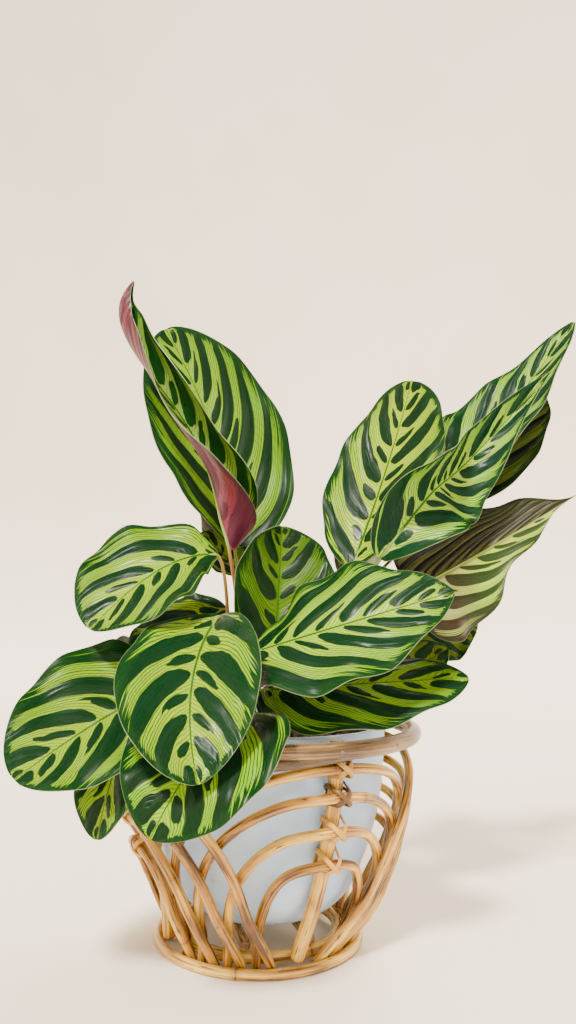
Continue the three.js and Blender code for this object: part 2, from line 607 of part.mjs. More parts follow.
// The origin is under the middle of the whole, on the surface that it stands on.
const box = new THREE.Box3().setFromObject(model);
const middle = box.getCenter(new THREE.Vector3());
model.position.set(-middle.x, -middle.y, -box.min.z);

export default model;
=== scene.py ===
# %% [markdown]
# # A potted calathea in a rattan basket
# The measured model of this plant is made elsewhere and loaded here as a fixed frame. This
# lesson dresses it: it makes smooth canes, a turned pot, rough soil and patterned leaves,
# each in the place of the plain solid that it stands for. Plain solids could also be given
# materials as they are, but their flat facets would show.

import math
import random

import bmesh
import bpy
from mathutils import Matrix, Vector, noise

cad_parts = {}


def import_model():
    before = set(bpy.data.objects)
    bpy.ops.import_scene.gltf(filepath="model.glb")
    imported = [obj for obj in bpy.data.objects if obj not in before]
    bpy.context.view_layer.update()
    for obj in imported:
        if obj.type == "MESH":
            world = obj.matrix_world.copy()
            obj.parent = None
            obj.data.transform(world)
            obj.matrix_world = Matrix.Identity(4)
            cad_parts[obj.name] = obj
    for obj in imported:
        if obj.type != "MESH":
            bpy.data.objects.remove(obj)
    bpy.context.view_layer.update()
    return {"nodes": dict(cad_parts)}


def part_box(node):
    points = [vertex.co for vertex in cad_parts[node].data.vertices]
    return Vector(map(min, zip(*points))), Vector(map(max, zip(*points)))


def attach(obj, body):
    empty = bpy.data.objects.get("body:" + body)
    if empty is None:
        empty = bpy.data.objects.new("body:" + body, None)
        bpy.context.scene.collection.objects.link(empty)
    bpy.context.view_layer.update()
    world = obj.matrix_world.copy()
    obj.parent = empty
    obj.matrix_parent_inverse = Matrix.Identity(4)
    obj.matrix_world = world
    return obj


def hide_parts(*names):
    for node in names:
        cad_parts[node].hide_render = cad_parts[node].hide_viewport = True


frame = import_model()
print("nodes in the frame:", len(frame["nodes"]))

# %% [markdown]
# ## Places
# The plant was drawn in millimetres round the basket's axis, with the floor at zero. The rim
# is a plain hoop, so the middle of its box lies on that axis, and its underside is at a known
# height. Everything below is worked out in those millimetres and moved into place by world().

# %% From millimetres round the basket to metres in the frame
RIM_RING = 142.5
RIM_CANE = 7.2
RIM_HEIGHT = 186.3
rim_low, rim_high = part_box("rim")
middle = (rim_low + rim_high) / 2
HERE = Vector((middle.x, middle.y, rim_low.z - (RIM_HEIGHT - RIM_CANE) / 1000))


def world(point):
    return HERE + Vector(point) / 1000


print("the basket's axis is at", [round(n, 4) for n in HERE])

# %% [markdown]
# ## Camera
# The photograph was taken from close by, a little above the rim, with a wide lens tipped
# upward. It could be placed by eye, but its place was worked out from the ellipses of the
# rim, the base ring and the pot, so that the piece can be laid over the photograph.


# %% Set the camera
def put(name, data):
    """A new object in the scene, with a mesh, a camera or a lamp as its data."""
    made = bpy.data.objects.new(name, data)
    bpy.context.scene.collection.objects.link(made)
    return made


CAMERA_PLACE = (0, -757, 294)
camera_data = bpy.data.cameras.new("camera")
camera_data.sensor_fit = "VERTICAL"
camera_data.sensor_height = 36
camera_data.lens = 36 * 770 / 1024  # a focal length of 770 px in a frame 1024 px high
camera_data.clip_start = 0.01
camera = put("camera", camera_data)
turn = Matrix.Rotation(math.radians(-1.6), 4, "Z")
tip = Matrix.Rotation(math.radians(90 + 7.5), 4, "X")
roll = Matrix.Rotation(math.radians(0.9), 4, "Z")
camera.matrix_world = Matrix.Translation(world(CAMERA_PLACE)) @ turn @ tip @ roll
bpy.context.scene.camera = camera
print("camera set, focal length", round(camera_data.lens, 2), "mm")

# %% [markdown]
# ## Colours and nodes
# Colours are easiest to read as the hex codes of a picture, but a shader works in linear
# light, so one function turns the one into the other. A material could be wired up by hand in
# the shader editor. Here a small class does it: it adds a node with its settings and links in
# one line, does sums with nodes, and joins the results to the shader at the end, so that each
# material reads as a short recipe.


# %% Helpers for materials
def rgb(code):
    """A hex colour code as linear red, green and blue."""
    parts = [int(code[i : i + 2], 16) / 255 for i in (1, 3, 5)]
    return [p / 12.92 if p <= 0.04045 else ((p + 0.055) / 1.055) ** 2.4 for p in parts]


class Material:
    """A new material, with ways to add nodes to it. An input is a plain value or an output."""

    def __init__(self, name):
        self.made = bpy.data.materials.new(name)
        self.made.use_nodes = True
        self.tree = self.made.node_tree
        self.tree.nodes.clear()
        self.shader = self.add("BsdfPrincipled")
        self.output = self.add("OutputMaterial", {"Surface": self.shader.outputs[0]})

    def join(self, value, socket):
        if isinstance(value, bpy.types.NodeSocket):
            self.tree.links.new(value, socket)
        else:
            socket.default_value = value

    def add(self, kind, inputs=None, **settings):
        node = self.tree.nodes.new("ShaderNode" + kind)
        for key, value in settings.items():
            setattr(node, key, value)
        for key, value in (inputs or {}).items():
            self.join(value, node.inputs[key])
        return node

    def calc(self, operation, *values):
        return self.add("Math", dict(enumerate(values)), operation=operation).outputs[0]

    def plus(self, a, b):
        return self.calc("ADD", a, b)

    def minus(self, a, b):
        return self.calc("SUBTRACT", a, b)

    def times(self, a, b):
        return self.calc("MULTIPLY", a, b)

    def line(self, x, slope, start):
        """slope times x, plus start."""
        return self.calc("MULTIPLY_ADD", x, slope, start)

    def smooth(self, value, low, high, start=0.0, end=1.0):
        """Goes smoothly from start to end as value goes from low to high."""
        limits = {"Value": value, 1: low, 2: high, 3: start, 4: end}
        return self.add("MapRange", limits, interpolation_type="SMOOTHSTEP").outputs[0]

    def blend(self, share, first, second, mode="MIX"):
        """A mix of two colours. Each is a hex code or an output."""
        inputs = {0: share}
        for socket, colour in ((6, first), (7, second)):
            inputs[socket] = (*rgb(colour), 1) if isinstance(colour, str) else colour
        return self.add("Mix", inputs, data_type="RGBA", blend_type=mode).outputs[2]

    def cloud(self, place, scale, detail, stretch=(1, 1, 1)):
        """Soft noise from 0 to 1, at a place that can be stretched along each axis."""
        at = self.add("VectorMath", {0: place, 1: stretch}, operation="MULTIPLY").outputs[0]
        return self.add("TexNoise", {"Vector": at, "Scale": scale, "Detail": detail}).outputs[0]

    def own(self, name, kind="Vector"):
        """The values that the mesh carries under a name."""
        return self.add("Attribute", attribute_name=name).outputs[kind]

    def parts(self, vector):
        return self.add("SeparateXYZ", {0: vector}).outputs

    def place(self):
        """Where a point of the object is, in metres."""
        return self.add("TexCoord").outputs["Object"]

    def relief(self, height, strength, depth):
        """Shades the surface as if it rose by up to depth, in metres."""
        bump = self.add("Bump", {"Height": height, "Strength": strength, "Distance": depth})
        self.join(bump.outputs[0], self.shader.inputs["Normal"])

    def finish(self, colour, roughness, **others):
        """Joins the colour, the roughness and other inputs to the shader."""
        values = {"Base Color": colour, "Roughness": roughness, **others}
        for key, value in values.items():
            self.join(value, self.shader.inputs[key.replace("_", " ")])
        return self.made


# %% [markdown]
# ## Meshes from bent grids
# Canes, stalks, blades and soil are all sheets that have been bent, so each starts as
# Blender's flat grid and a formula moves its points. A tube is a grid whose two long edges
# are welded. The formula also writes down what the materials need to know about each point,
# such as how far along the cane it is, so that no pattern depends on a texture map.


# %% Helpers for meshes
def new_mesh(*marks):
    """An empty mesh that carries a map and a vector for each of the marks."""
    bm = bmesh.new()
    bm.loops.layers.uv.verify()
    return bm, [bm.verts.layers.float_vector.new(mark) for mark in marks]


def add_grid(bm, columns, rows, point, marks, weld=False):
    """Adds a grid bent by point(u, v). marks gives each layer's value at u and v."""
    verts = bmesh.ops.create_grid(
        bm, x_segments=columns, y_segments=rows, size=0.5, calc_uvs=True
    )["verts"]
    faces = {face for vert in verts for face in vert.link_faces}
    for vert in verts:
        u, v = vert.co.x + 0.5, vert.co.y + 0.5
        for layer, read in marks.items():
            vert[layer] = read(u, v)
        vert.co = point(u, v)
    if weld:
        bmesh.ops.remove_doubles(bm, verts=verts, dist=1e-6)
        edges = {edge for face in faces for edge in face.edges if edge.is_boundary}
        caps = bmesh.ops.holes_fill(bm, edges=list(edges), sides=0)["faces"]
        faces |= set(caps)
        bmesh.ops.recalc_face_normals(bm, faces=list(faces))
    return faces


def path_frames(points, closed=False, out=None):
    """Along a line of points: each point with two directions across the line there."""
    made = []
    last = len(points) - 1
    across = Vector((0.3, 1, 0.1))
    for i, here in enumerate(points):
        before = points[i - 1] if i else points[-2 if closed else 0]
        after = points[i + 1] if i < last else points[1 if closed else last]
        along = (after - before).normalized()
        across = out(here) if out else across
        across = (across - along * across.dot(along)).normalized()
        made.append((here, across, along.cross(across)))
    return made


def lengths(points):
    """How far along the line each point is."""
    made = [0.0]
    for a, b in zip(points, points[1:]):
        made.append(made[-1] + (b - a).length)
    return made


def add_tube(bm, points, radius, sides, marks, closed=False, out=None):
    """Adds a round tube. radius(i) and each mark(i, turn) are for point i, at an angle."""
    steps = len(points) - 1
    rings = path_frames(points, closed, out)

    def index(u):
        return round(u * steps)

    def point(u, v):
        here, first, second = rings[index(u)]
        turn = 2 * math.pi * round(v * sides) / sides
        reach = radius(index(u))
        return world(here + (first * math.cos(turn) + second * math.sin(turn)) * reach)

    read = {
        layer: lambda u, v, value=value: value(index(u), 2 * math.pi * round(v * sides) / sides)
        for layer, value in marks.items()
    }
    return add_grid(bm, steps, sides, point, read, weld=True)


def make_object(bm, name, materials):
    """Turns the finished mesh into an object."""
    mesh = bpy.data.meshes.new(name)
    bm.to_mesh(mesh)
    bm.free()
    for made in materials:
        mesh.materials.append(made)
    mesh.shade_smooth()
    return put(name, mesh)


SHARP_ANGLE = math.radians(50)  # an edge that turns more than this stays sharp


def show(bm, name, materials, slot, *nodes):
    """Makes the finished mesh a piece that stands for the frame's nodes."""
    piece = make_object(bm, name, materials)
    piece.data.set_sharp_from_angle(angle=SHARP_ANGLE)
    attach(piece, "root")
    if nodes:
        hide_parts(*nodes)
    return piece


# %% [markdown]
# ## Rattan
# Rattan is a vine whose stem is solid, with long fibres under a hard shiny skin. Every 15 to
# 30 cm it has a joint: a slightly swollen ring, dark in its groove. Peeled cane is golden,
# browner where the skin was bruised or stained, and it has short dark scratches. A picture
# wrapped round the cane would stretch at the bends. This material reads the place along and
# across the cane instead, in millimetres, so its fibres follow every bend. It also reads how
# far the nearest joint and the nearest cut end are.


# %% Rattan materials
def rattan(name, dark, middle_tone, light):
    m = Material(name)
    place = m.own("cane")
    from_joint, from_end, tone_of_cane = m.parts(m.own("wear"))
    fibres = m.cloud(place, 1.0, 4, (0.02, 0.5, 0.5))
    broad = m.cloud(place, 1.0, 2, (0.02, 0.1, 0.1))
    tone = m.plus(broad, m.line(fibres, 1.2, tone_of_cane))
    low = m.blend(m.smooth(tone, 0.86, 1.07), dark, middle_tone)
    colour = m.blend(m.smooth(tone, 1.06, 1.36), low, light)
    # Short dark scratches and specks along the fibres
    marks = m.cloud(place, 1.0, 3, (0.07, 0.55, 0.55))
    colour = m.blend(m.smooth(marks, 0.61, 0.7, 0, 0.85), colour, "#3a1d0a")
    # The groove of each joint, with a browned band round it, and the dark cut ends
    near = m.line(fibres, 2.4, from_joint)
    colour = m.blend(m.smooth(near, 1.5, 9, 0.45, 0), colour, "#8a4c12")
    colour = m.blend(m.smooth(near, 1.2, 2.6, 0.8, 0), colour, "#3c1f0a")
    colour = m.blend(m.smooth(from_end, 0.2, 2.5, 0.6, 0), colour, "#5c3a18")
    fine = m.cloud(place, 1.0, 3, (0.05, 2.2, 2.2))
    m.relief(m.line(fibres, 0.6, m.times(fine, 0.4)), 0.5, 0.0006)
    return m.finish(colour, m.smooth(fibres, 0.25, 0.75, 0.2, 0.39), Specular_IOR_Level=0.6)


# Peeled rattan cane, satin, for the arches, posts and bars
rattan_cane = rattan("rattan_cane", "#543614", "#b07c2c", "#e4b84c")
# The same cane, darker and browner, for the rim: partly the cane's own browner tone, partly painted
# shade of the leaves that hang over it
rattan_rim = rattan("rattan_rim", "#443018", "#705230", "#a08458")
# Paler cane for the base rings
rattan_base = rattan("rattan_base", "#745020", "#c4943c", "#ecc660")
print("rattan materials made")

# %% [markdown]
# ## Canes
# A cane is a round tube along a line, thicker at its joints and never quite even. Seen from
# near, that unevenness and the cut ends are what tell it from plastic pipe. Blender's curve
# with a round bevel is the quick way, but a bent grid can swell at the joints, and each of
# its points knows where it is on the cane.


# %% Helpers for canes
FAR = 99  # stands for a joint or an end that is too far off to show


def add_cane(bm, layers, points, radius, joints=(), closed=False, out=None, sides=14, tone=0.0):
    """Adds a cane. joints are shares of its length."""
    run = lengths(points)
    total = run[-1]
    start = random.uniform(0, 4000)

    def from_joint(i):
        return min([abs(run[i] - total * j) for j in joints] + [FAR])

    def from_end(i):
        return FAR if closed else min(run[i], total - run[i])

    def thickness(i):
        uneven = 1 + 0.035 * noise.noise(Vector((run[i] * 0.02 + start, 0, 0)))
        swell = 0.45 * math.exp(-((from_joint(i) / 2.6) ** 2))
        groove = 0.4 * math.exp(-((from_joint(i) / 0.8) ** 2))
        cut = 0.5 * max(0, 1 - from_end(i) / 0.7)
        even = 1 if closed and i in (0, len(points) - 1) else uneven
        return radius * even + swell - groove - cut

    cane, wear = layers
    add_tube(bm, points, thickness, sides, {
        cane: lambda i, turn: (run[i] + start, radius * math.cos(turn), radius * math.sin(turn)),
        wear: lambda i, turn: (from_joint(i), from_end(i), tone),
    }, closed, out)


def make_cane(name, points, radius, joints, **how):
    bm, layers = new_mesh("cane", "wear")
    add_cane(bm, layers, points, radius, joints, **how)
    show(bm, name, [rattan_cane], "rattan", name)


JOINT_STEPS = (-0.012, -0.006, -0.002, 0, 0.002, 0.006, 0.012)


def with_joints(path, count, joints):
    """Points along path(share), closer together at each joint so that its ring shows."""
    shares = {i / count for i in range(count + 1)}
    for joint in joints:
        shares |= {joint + step for step in JOINT_STEPS}
    return [path(share) for share in sorted(s for s in shares if 0 <= s <= 1)]


def radial(point):
    """Straight out from the basket's axis."""
    return Vector((point.x, point.y, 0))


def around(angle, radius, z):
    """A point at an angle from the front, so far from the axis and so high."""
    turn = math.radians(angle)
    return Vector((radius * math.sin(turn), -radius * math.cos(turn), z))


def read_table(table, x):
    """Straight-line reading of a table of (x, value) pairs."""
    i = 1
    while i < len(table) - 1 and table[i][0] < x:
        i += 1
    (x0, y0), (x1, y1) = table[i - 1], table[i]
    return y0 + (y1 - y0) * (x - x0) / (x1 - x0)


def ease(x, low, high):
    """Goes smoothly from 0 to 1 as x goes from low to high."""
    x = min(max((x - low) / (high - low), 0), 1)
    return x * x * (3 - 2 * x)


# %% [markdown]
# ## Rim and base rings
# The rim is one thick cane bent to a hoop. Its ends are cut on the slant and lapped, and at
# the front right the lower end runs out in a long taper under the upper one. The base is two
# thinner hoops. Blender has a ready ring, the torus, but a torus has the same thickness all
# round, so each hoop is a tube along a circle, and the taper is a second tube under the first.

# %% Make the hoops
random.seed(11)  # the same marks on the canes at each run
# Each base ring's radius, its cane's radius, and how high the middle of the cane is
BASE_OUTER = (91.8, 4.3, 4.1)
BASE_INNER = (72.4, 5.0, 9.5)
# The rim's lower end: its cane's radius, and between which angles it thins out
END_CANE = 5.6
LAP_FROM, LAP_TO = -10, 52


def make_hoop(name, ring, radius, z, made_of, slot, joints, tail=False):
    bm, layers = new_mesh("cane", "wear")

    def path(share):
        return around(180 + 360 * share, ring, z)

    points = with_joints(path, 180, joints)
    add_cane(bm, layers, points, radius, joints, closed=True, out=radial, sides=20)
    if tail:
        turns = range(-60, LAP_TO + 1, 2)
        thin = [ease(turn, LAP_FROM, LAP_TO) for turn in turns]
        line = [
            around(turn, ring + 3.2 - 2 * m, z - 9 + 6.5 * m) for turn, m in zip(turns, thin)
        ]
        run = lengths(line)
        cane, wear = layers
        add_tube(bm, line, lambda i: END_CANE - 4 * thin[i], 16, {
            cane: lambda i, turn: (run[i] + 900, 5 * math.cos(turn), 5 * math.sin(turn)),
            wear: lambda i, turn: (FAR, FAR, -0.1),
        }, out=radial)
    # A hoop is worn flat where it stands.
    for vert in bm.verts:
        vert.co.z = max(vert.co.z, 0)
    return show(bm, name, [made_of], slot, name)


RIM = (RIM_RING, RIM_CANE, RIM_HEIGHT)
make_hoop("rim", *RIM, rattan_rim, "rattan_rim", [0.13, 0.44, 0.79], tail=True)
make_hoop("base_ring_outer", *BASE_OUTER, rattan_base, "rattan_base", [0.2, 0.47, 0.83])
make_hoop("base_ring_inner", *BASE_INNER, rattan_base, "rattan_base", [0.1, 0.6])
print("hoops made")

# %% [markdown]
# ## Arches and posts
# Four nested arches are bent over each of four posts, and the arches of neighbouring panels
# cross. The heights and angles below are those of the measured model. The wall flares
# upward, the arches of the front and back panels pass behind those of the side panels, and
# each arch comes out a little where it passes its own post. The canes could be drawn as
# curves by hand, but a formula puts all sixteen exactly on the measured ones.

# %% The basket's lines
# The wall's radius at heights, for the panels whose arches lie outside and inside
WALL_OUTSIDE = [
    (0, 82.3), (8, 82.3), (13, 85.5), (22, 93), (38, 100.5), (60, 109.2), (87, 120.2),
    (110, 128.7), (129, 134.7), (150, 138.5), (175, 139.5),
]
WALL_INSIDE = [
    (0, 82.3), (13, 81.4), (22, 82), (38, 89.8), (60, 99.8), (87, 110.7), (110, 119.7),
    (129, 125.7), (148, 130.5), (160, 135), (168, 139.5), (175, 139.5),
]
SIDE_BULGE = [(0, 0), (13, 0), (24, 6.5), (45, 9.5), (80, 9.5), (110, 5), (135, 1.5), (150, 0)]
LEFT_SHARE = 0.4
ARCH_CANE = 4.2
LEG_BOTTOM = 3.2
# The posts' distance from the axis at heights, and the arches' tops and roundness
POST_LINE = [(11, 84.4), (60, 96.5), (92, 109), (121, 118.5), (150, 125), (192, 128.6)]
POST_CANE = 6.2
ARCH_TOPS = [171.5, 149, 121, 93.5]
ARCH_ROUNDNESS = [2.1, 2.05, 2.2, 2.5]
# How far each arch's legs stand from the post, in degrees, and how far they splay below
FRONT = {"left": [73.5, 60, 43, 26], "right": [76, 63.5, 48.5, 33]}
SIDE = {"left": [81, 67.5, 49.5, 34], "right": [74.5, 57.5, 40.5, 23.5]}
NO_SPLAY = {"left": [0] * 4, "right": [0] * 4}
SIDE_SPLAY = {"left": [19, 9.5, 7.5, 6], "right": [12.5, 9.5, 7.5, 3.5]}
# Each panel's direction, its wall, its legs and their splay
PANELS = {
    "front": (25, WALL_INSIDE, FRONT, NO_SPLAY),
    "right": (115, WALL_OUTSIDE, SIDE, SIDE_SPLAY),
    "back": (205, WALL_INSIDE, FRONT, NO_SPLAY),
    "left": (295, WALL_OUTSIDE, SIDE, SIDE_SPLAY),
}


def bulge(angle, z):
    """How far the basket's sides stand out of the round."""
    sideways = math.sin(math.radians(angle)) ** 3
    return read_table(SIDE_BULGE, z) * sideways * (LEFT_SHARE if sideways < 0 else 1)


def post_angle(panel, z):
    return PANELS[panel][0] - 3.5 + 7 * ease(z, 0, 60)


def post_radius(panel, z):
    return read_table(POST_LINE, z) + bulge(post_angle(panel, z), z)


def on_post(panel, z):
    return around(post_angle(panel, z), post_radius(panel, z), z)


def leg_angle(panel, side, k, z):
    """How far arch k's leg is from its post at a height, in degrees."""
    spans, splays = PANELS[panel][2], PANELS[panel][3]
    splay = splays[side][k]
    level = min(z / ARCH_TOPS[k], 1)
    arch = (1 - level ** ARCH_ROUNDNESS[k]) ** (1 / ARCH_ROUNDNESS[k])
    return (spans[side][k] - splay) * arch + splay * max(1 - z / 55, 0) ** 1.3


def on_wall(panel, angle, z):
    """The middle of a cane on the wall, which steps out over the post."""
    layer = read_table(PANELS[panel][1], z) + bulge(angle, z)
    away = min(abs(angle - post_angle(panel, z)) / 22, 1)
    near = 1 - ease(away, 0.3, 1) if z > 28 else 0
    over = post_radius(panel, z) + POST_CANE + ARCH_CANE + 0.8
    return around(angle, layer + (over - layer) * near, z)


def arch_path(panel, k):
    """The middle of an arch's cane at a share of its way from the left foot to the right."""
    rise = ARCH_TOPS[k] - LEG_BOTTOM
    power = 2 / ARCH_ROUNDNESS[k]

    def path(share):
        along = 1 - abs(2 * share - 1)
        z = LEG_BOTTOM + rise * math.sin(math.pi / 2 * along ** 0.72) ** power
        side = "left" if share < 0.5 else "right"
        leg = leg_angle(panel, side, k, z) * (-1 if share < 0.5 else 1)
        return on_wall(panel, PANELS[panel][0] + leg, z)

    return path


def curve_through(points, share):
    """A smooth line through points, with the spacing of the points taken into account."""
    last = len(points) - 1
    i = min(int(share * last), last - 1)
    h = share * last - i
    p1, p2 = points[i], points[i + 1]
    p0 = points[i - 1] if i else p1 * 2 - p2
    p3 = points[i + 2] if i + 2 <= last else p2 * 2 - p1
    pairs = ((p0, p1), (p1, p2), (p2, p3))
    d01, d12, d23 = [max(math.sqrt((b - a).length), 1e-4) for a, b in pairs]
    m1 = ((p1 - p0) / d01 - (p2 - p0) / (d01 + d12) + (p2 - p1) / d12) * d12
    m2 = ((p2 - p1) / d12 - (p3 - p1) / (d12 + d23) + (p3 - p2) / d23) * d12
    return (
        p1 * (2 * h**3 - 3 * h**2 + 1) + m1 * (h**3 - 2 * h**2 + h)
        + p2 * (3 * h**2 - 2 * h**3) + m2 * (h**3 - h**2)
    )


# %% Make the arches, posts and bars
POST_JOINTS = {"front": [0.27, 0.6], "right": [0.55], "back": [0.3, 0.75], "left": [0.7]}
for panel in PANELS:
    for k in range(len(ARCH_TOPS)):
        joints = [random.uniform(0.05, 0.3), random.uniform(0.38, 0.6), random.uniform(0.7, 0.95)]
        points = with_joints(arch_path(panel, k), 110 - 14 * k, joints)
        tone = random.uniform(-0.1, 0.12)
        make_cane(f"arch_{panel}_{k + 1}", points, ARCH_CANE, joints, out=radial, tone=tone)
    knots = [on_post(panel, z) for z, _ in POST_LINE]
    joints = POST_JOINTS[panel]
    points = with_joints(lambda share: curve_through(knots, share), 48, joints)
    make_cane("post_" + panel, points, POST_CANE, joints, out=radial, sides=18, tone=0.06)

GAP = 0.3  # between a piece and what carries it
BAR_CANE = 5.0
BAR_SPACE = 28
BAR_TURN = math.radians(14)
BAR_FLAT = BAR_CANE * math.cos(math.pi / 8)  # the measured bar has eight flat sides
BAR_HEIGHT = BASE_INNER[2] + BASE_INNER[1] + GAP + BAR_FLAT
turned = Matrix.Rotation(BAR_TURN, 3, "Z")
for side, name in ((-BAR_SPACE, "base_bar_left"), (BAR_SPACE, "base_bar_right")):
    points = [turned @ Vector((side, y, BAR_HEIGHT)) for y in range(-69, 70, 3)]
    make_cane(name, points, 0.95 * BAR_CANE, [0.3], out=lambda p: Vector((0, 0, 1)))
print("arches, posts and bars made")

# %% [markdown]
# ## Bindings
# Where an arch passes its post, a strip of split cane peel ties the two. It goes round the
# back of the post and over the front of the arch on the slant, once each way, so a cross
# shows in front, and the two upper ties have a third turn. A real strip is one long helix.
# Here each turn is a closed band round two circles, the post and the arch, because a closed
# band needs no ends to hide.


# %% Split cane
def make_peel():
    m = Material("cane_peel")
    fibres = m.cloud(m.own("cane"), 1.0, 3, (0.05, 2.0, 2.0))
    tone = m.line(fibres, 0.5, m.parts(m.own("wear"))[2])
    m.relief(fibres, 0.3, 0.0003)
    return m.finish(m.blend(m.smooth(tone, 0.2, 0.95), "#4c2c12", "#c8983e"), 0.42)


cane_peel = make_peel()  # split cane peel, glossy on its skin side
STRIP_WIDTH = 3.8
STRIP_THICKNESS = 1.9
PEEL_TONES = [0.28, 0.1, 0.55, 0.65]  # the upper ties are browner than the lower


def crossing(panel, k):
    """Where an arch passes over its post, and which way it runs there."""
    path = arch_path(panel, k)
    side = around(PANELS[panel][0] + 3.5 + 90, 1, 0)
    low, high = 0.35, 0.75
    for _ in range(30):
        half = (low + high) / 2
        here = path(half)
        if here.dot(side) < on_post(panel, here.z).dot(side):
            low = half
        else:
            high = half
    return path(low), (path(low + 0.01) - path(low - 0.01)).normalized()


def add_loop(bm, layers, panel, k, slant, raised, shift, tone):
    """One turn of peel. It leans by slant and lies raised above the turns under it."""
    arch, direction = crossing(panel, k)
    up = (on_post(panel, arch.z + 5) - on_post(panel, arch.z)).normalized()
    post = on_post(panel, arch.z)
    post += up * (arch - post).dot(up)
    out = arch - post
    reach = out.length
    out.normalize()
    level = (direction - up * direction.dot(up)).normalized()
    along = (up + level * slant).normalized()
    along = (along - out * along.dot(out)).normalized()
    stretch = 1 / math.sin(along.angle(up))
    across = out.cross(along)
    close = 0.1 + STRIP_THICKNESS / 2

    def half_turn(radius, centre, start, clear):
        turns = [math.radians(start + 15 * i) for i in range(13)]
        reach_along = (radius + clear) * stretch + STRIP_WIDTH * 0.25
        return [(centre + (radius + clear) * math.cos(t), reach_along * math.sin(t)) for t in turns]

    outline = half_turn(POST_CANE, 0, 90, close + raised / 2)
    outline += half_turn(ARCH_CANE, reach, -90, close + raised)
    # The shift moves the turn along the post at its back, and not on the arch.
    line = [post + out * x + along * y + up * shift * max(0, 1 - x / reach) for x, y in outline]
    line.append(line[0])
    run = lengths(line)
    rings = path_frames(line, True, lambda _: across)
    steps, sides, corner = len(line) - 1, 8, 1.08

    def point(u, v):
        here, wide, thick = rings[round(u * steps)]
        turn = 2 * math.pi * (round(v * sides) + 0.5) / sides
        x, y = [max(-1, min(1, corner * f(turn))) for f in (math.cos, math.sin)]
        return world(here + wide * x * STRIP_WIDTH / 2 + thick * y * STRIP_THICKNESS / 2)

    cane, wear = layers
    add_grid(bm, steps, sides, point, {
        cane: lambda u, v: (
            run[round(u * steps)] + 50 * k,
            1.8 * math.cos(2 * math.pi * v), 0.4 * math.sin(2 * math.pi * v),
        ),
        wear: lambda u, v: (FAR, FAR, tone),
    }, weld=True)


for panel in PANELS:
    bm, layers = new_mesh("cane", "wear")
    for k, tone in enumerate(PEEL_TONES):
        shade = tone + random.uniform(-0.08, 0.08)
        add_loop(bm, layers, panel, k, 1, 0, 0.6, shade)
        add_loop(bm, layers, panel, k, -1.1, 1.3, -0.6, shade + 0.06)
        if k < 2:
            add_loop(bm, layers, panel, k, 1.7, 0.3, -1.5, shade - 0.04)
    show(bm, "binding_" + panel, [cane_peel], "cane_peel", "binding_" + panel)
print("bindings made")

# %% [markdown]
# ## Nails
# Small iron nails hold the rim to the canes under it, and some of the legs to each other. A
# head is a short flat dome, a little rough, on the outside of its cane: a ready ball, pressed
# flat. The shank is inside the cane and isn't made.


# %% Drive the nails
def make_iron():
    m = Material("nail_iron")
    rust = m.cloud(m.place(), 900.0, 3)
    colour = m.blend(m.smooth(rust, 0.45, 0.7), "#77787a", "#5b4a3c")
    return m.finish(colour, m.smooth(rust, 0.4, 0.7, 0.35, 0.7), Metallic=0.8)


NAIL_HEAD = 1.6
NAIL_DOME = 0.45  # the height of the head as a share of its radius
RIM_NAILS = (25, 49, 118, 200, 291)
LEG_NAILS = (("left", 1, 0.7975), ("left", 1, 0.955), ("right", 0, 0.93), ("back", 2, 0.06))
nails = bmesh.new()


def add_nail(centre, reach):
    """A nail head on the outside of a cane whose middle is centre."""
    out = Vector((centre.x, centre.y, 0)).normalized()
    facing = out.to_track_quat("Z", "Y").to_matrix().to_4x4()
    at = Matrix.Translation(world(centre + out * reach)) @ facing
    bmesh.ops.create_uvsphere(
        nails, u_segments=16, v_segments=8, radius=NAIL_HEAD / 1000,
        matrix=at @ Matrix.Diagonal((1, 1, NAIL_DOME, 1)),
    )


for angle in RIM_NAILS:
    add_nail(around(angle, RIM_RING, RIM_HEIGHT), RIM_CANE)
for panel, k, share in LEG_NAILS:
    add_nail(arch_path(panel, k)(share), ARCH_CANE)
show(nails, "nails", [make_iron()], None)
print("nails driven")

# %% [markdown]
# ## Pot
# The pot is plain white ceramic with a matt glaze: a round-bottomed bowl that grows nearly
# upright, with a soft lip. It could be sculpted, but it was turned on a wheel, so here its
# outline is spun round its axis. Its side has wide shallow dents and its glaze a few specks,
# and both are left to the material. The colour is bluer than the pot, because the light is warm.

# %% Spin the pot
POT_SHIFT = 3.5
POT_FOOT = BAR_HEIGHT + BAR_FLAT + GAP
POT_OUTER = [
    (38, 0), (52, 2.5), (68, 11), (80, 23), (88.5, 39), (96, 58), (102, 78), (107.5, 102),
    (111, 135), (112.5, 169),
]
POT_WALL = 4.5
SOIL_TOP = 180


def make_glaze():
    m = Material("matt_white_glaze")
    place = m.place()
    uneven = m.smooth(m.cloud(place, 9.0, 3), 0.3, 0.7)
    speckle = m.cloud(place, 420.0, 2)
    colour = m.blend(uneven, "#b8d6ff", "#cde4ff")
    colour = m.blend(m.smooth(speckle, 0.72, 0.78, 0, 0.25), colour, "#a9a7a2")
    m.relief(m.line(speckle, 0.02, m.cloud(place, 26.0, 1)), 0.9, 0.012)
    return m.finish(colour, m.line(uneven, 0.12, 0.4))


def spin(bm, line):
    """Spins a line of points round the upright axis through its first point."""
    verts = [bm.verts.new(point) for point in line]
    edges = [bm.edges.new(pair) for pair in zip(verts, verts[1:])]
    bmesh.ops.spin(
        bm, geom=verts + edges, cent=line[0], axis=(0, 0, 1),
        angle=2 * math.pi, steps=96, use_merge=True,
    )
    bmesh.ops.remove_doubles(bm, verts=bm.verts[:], dist=1e-5)


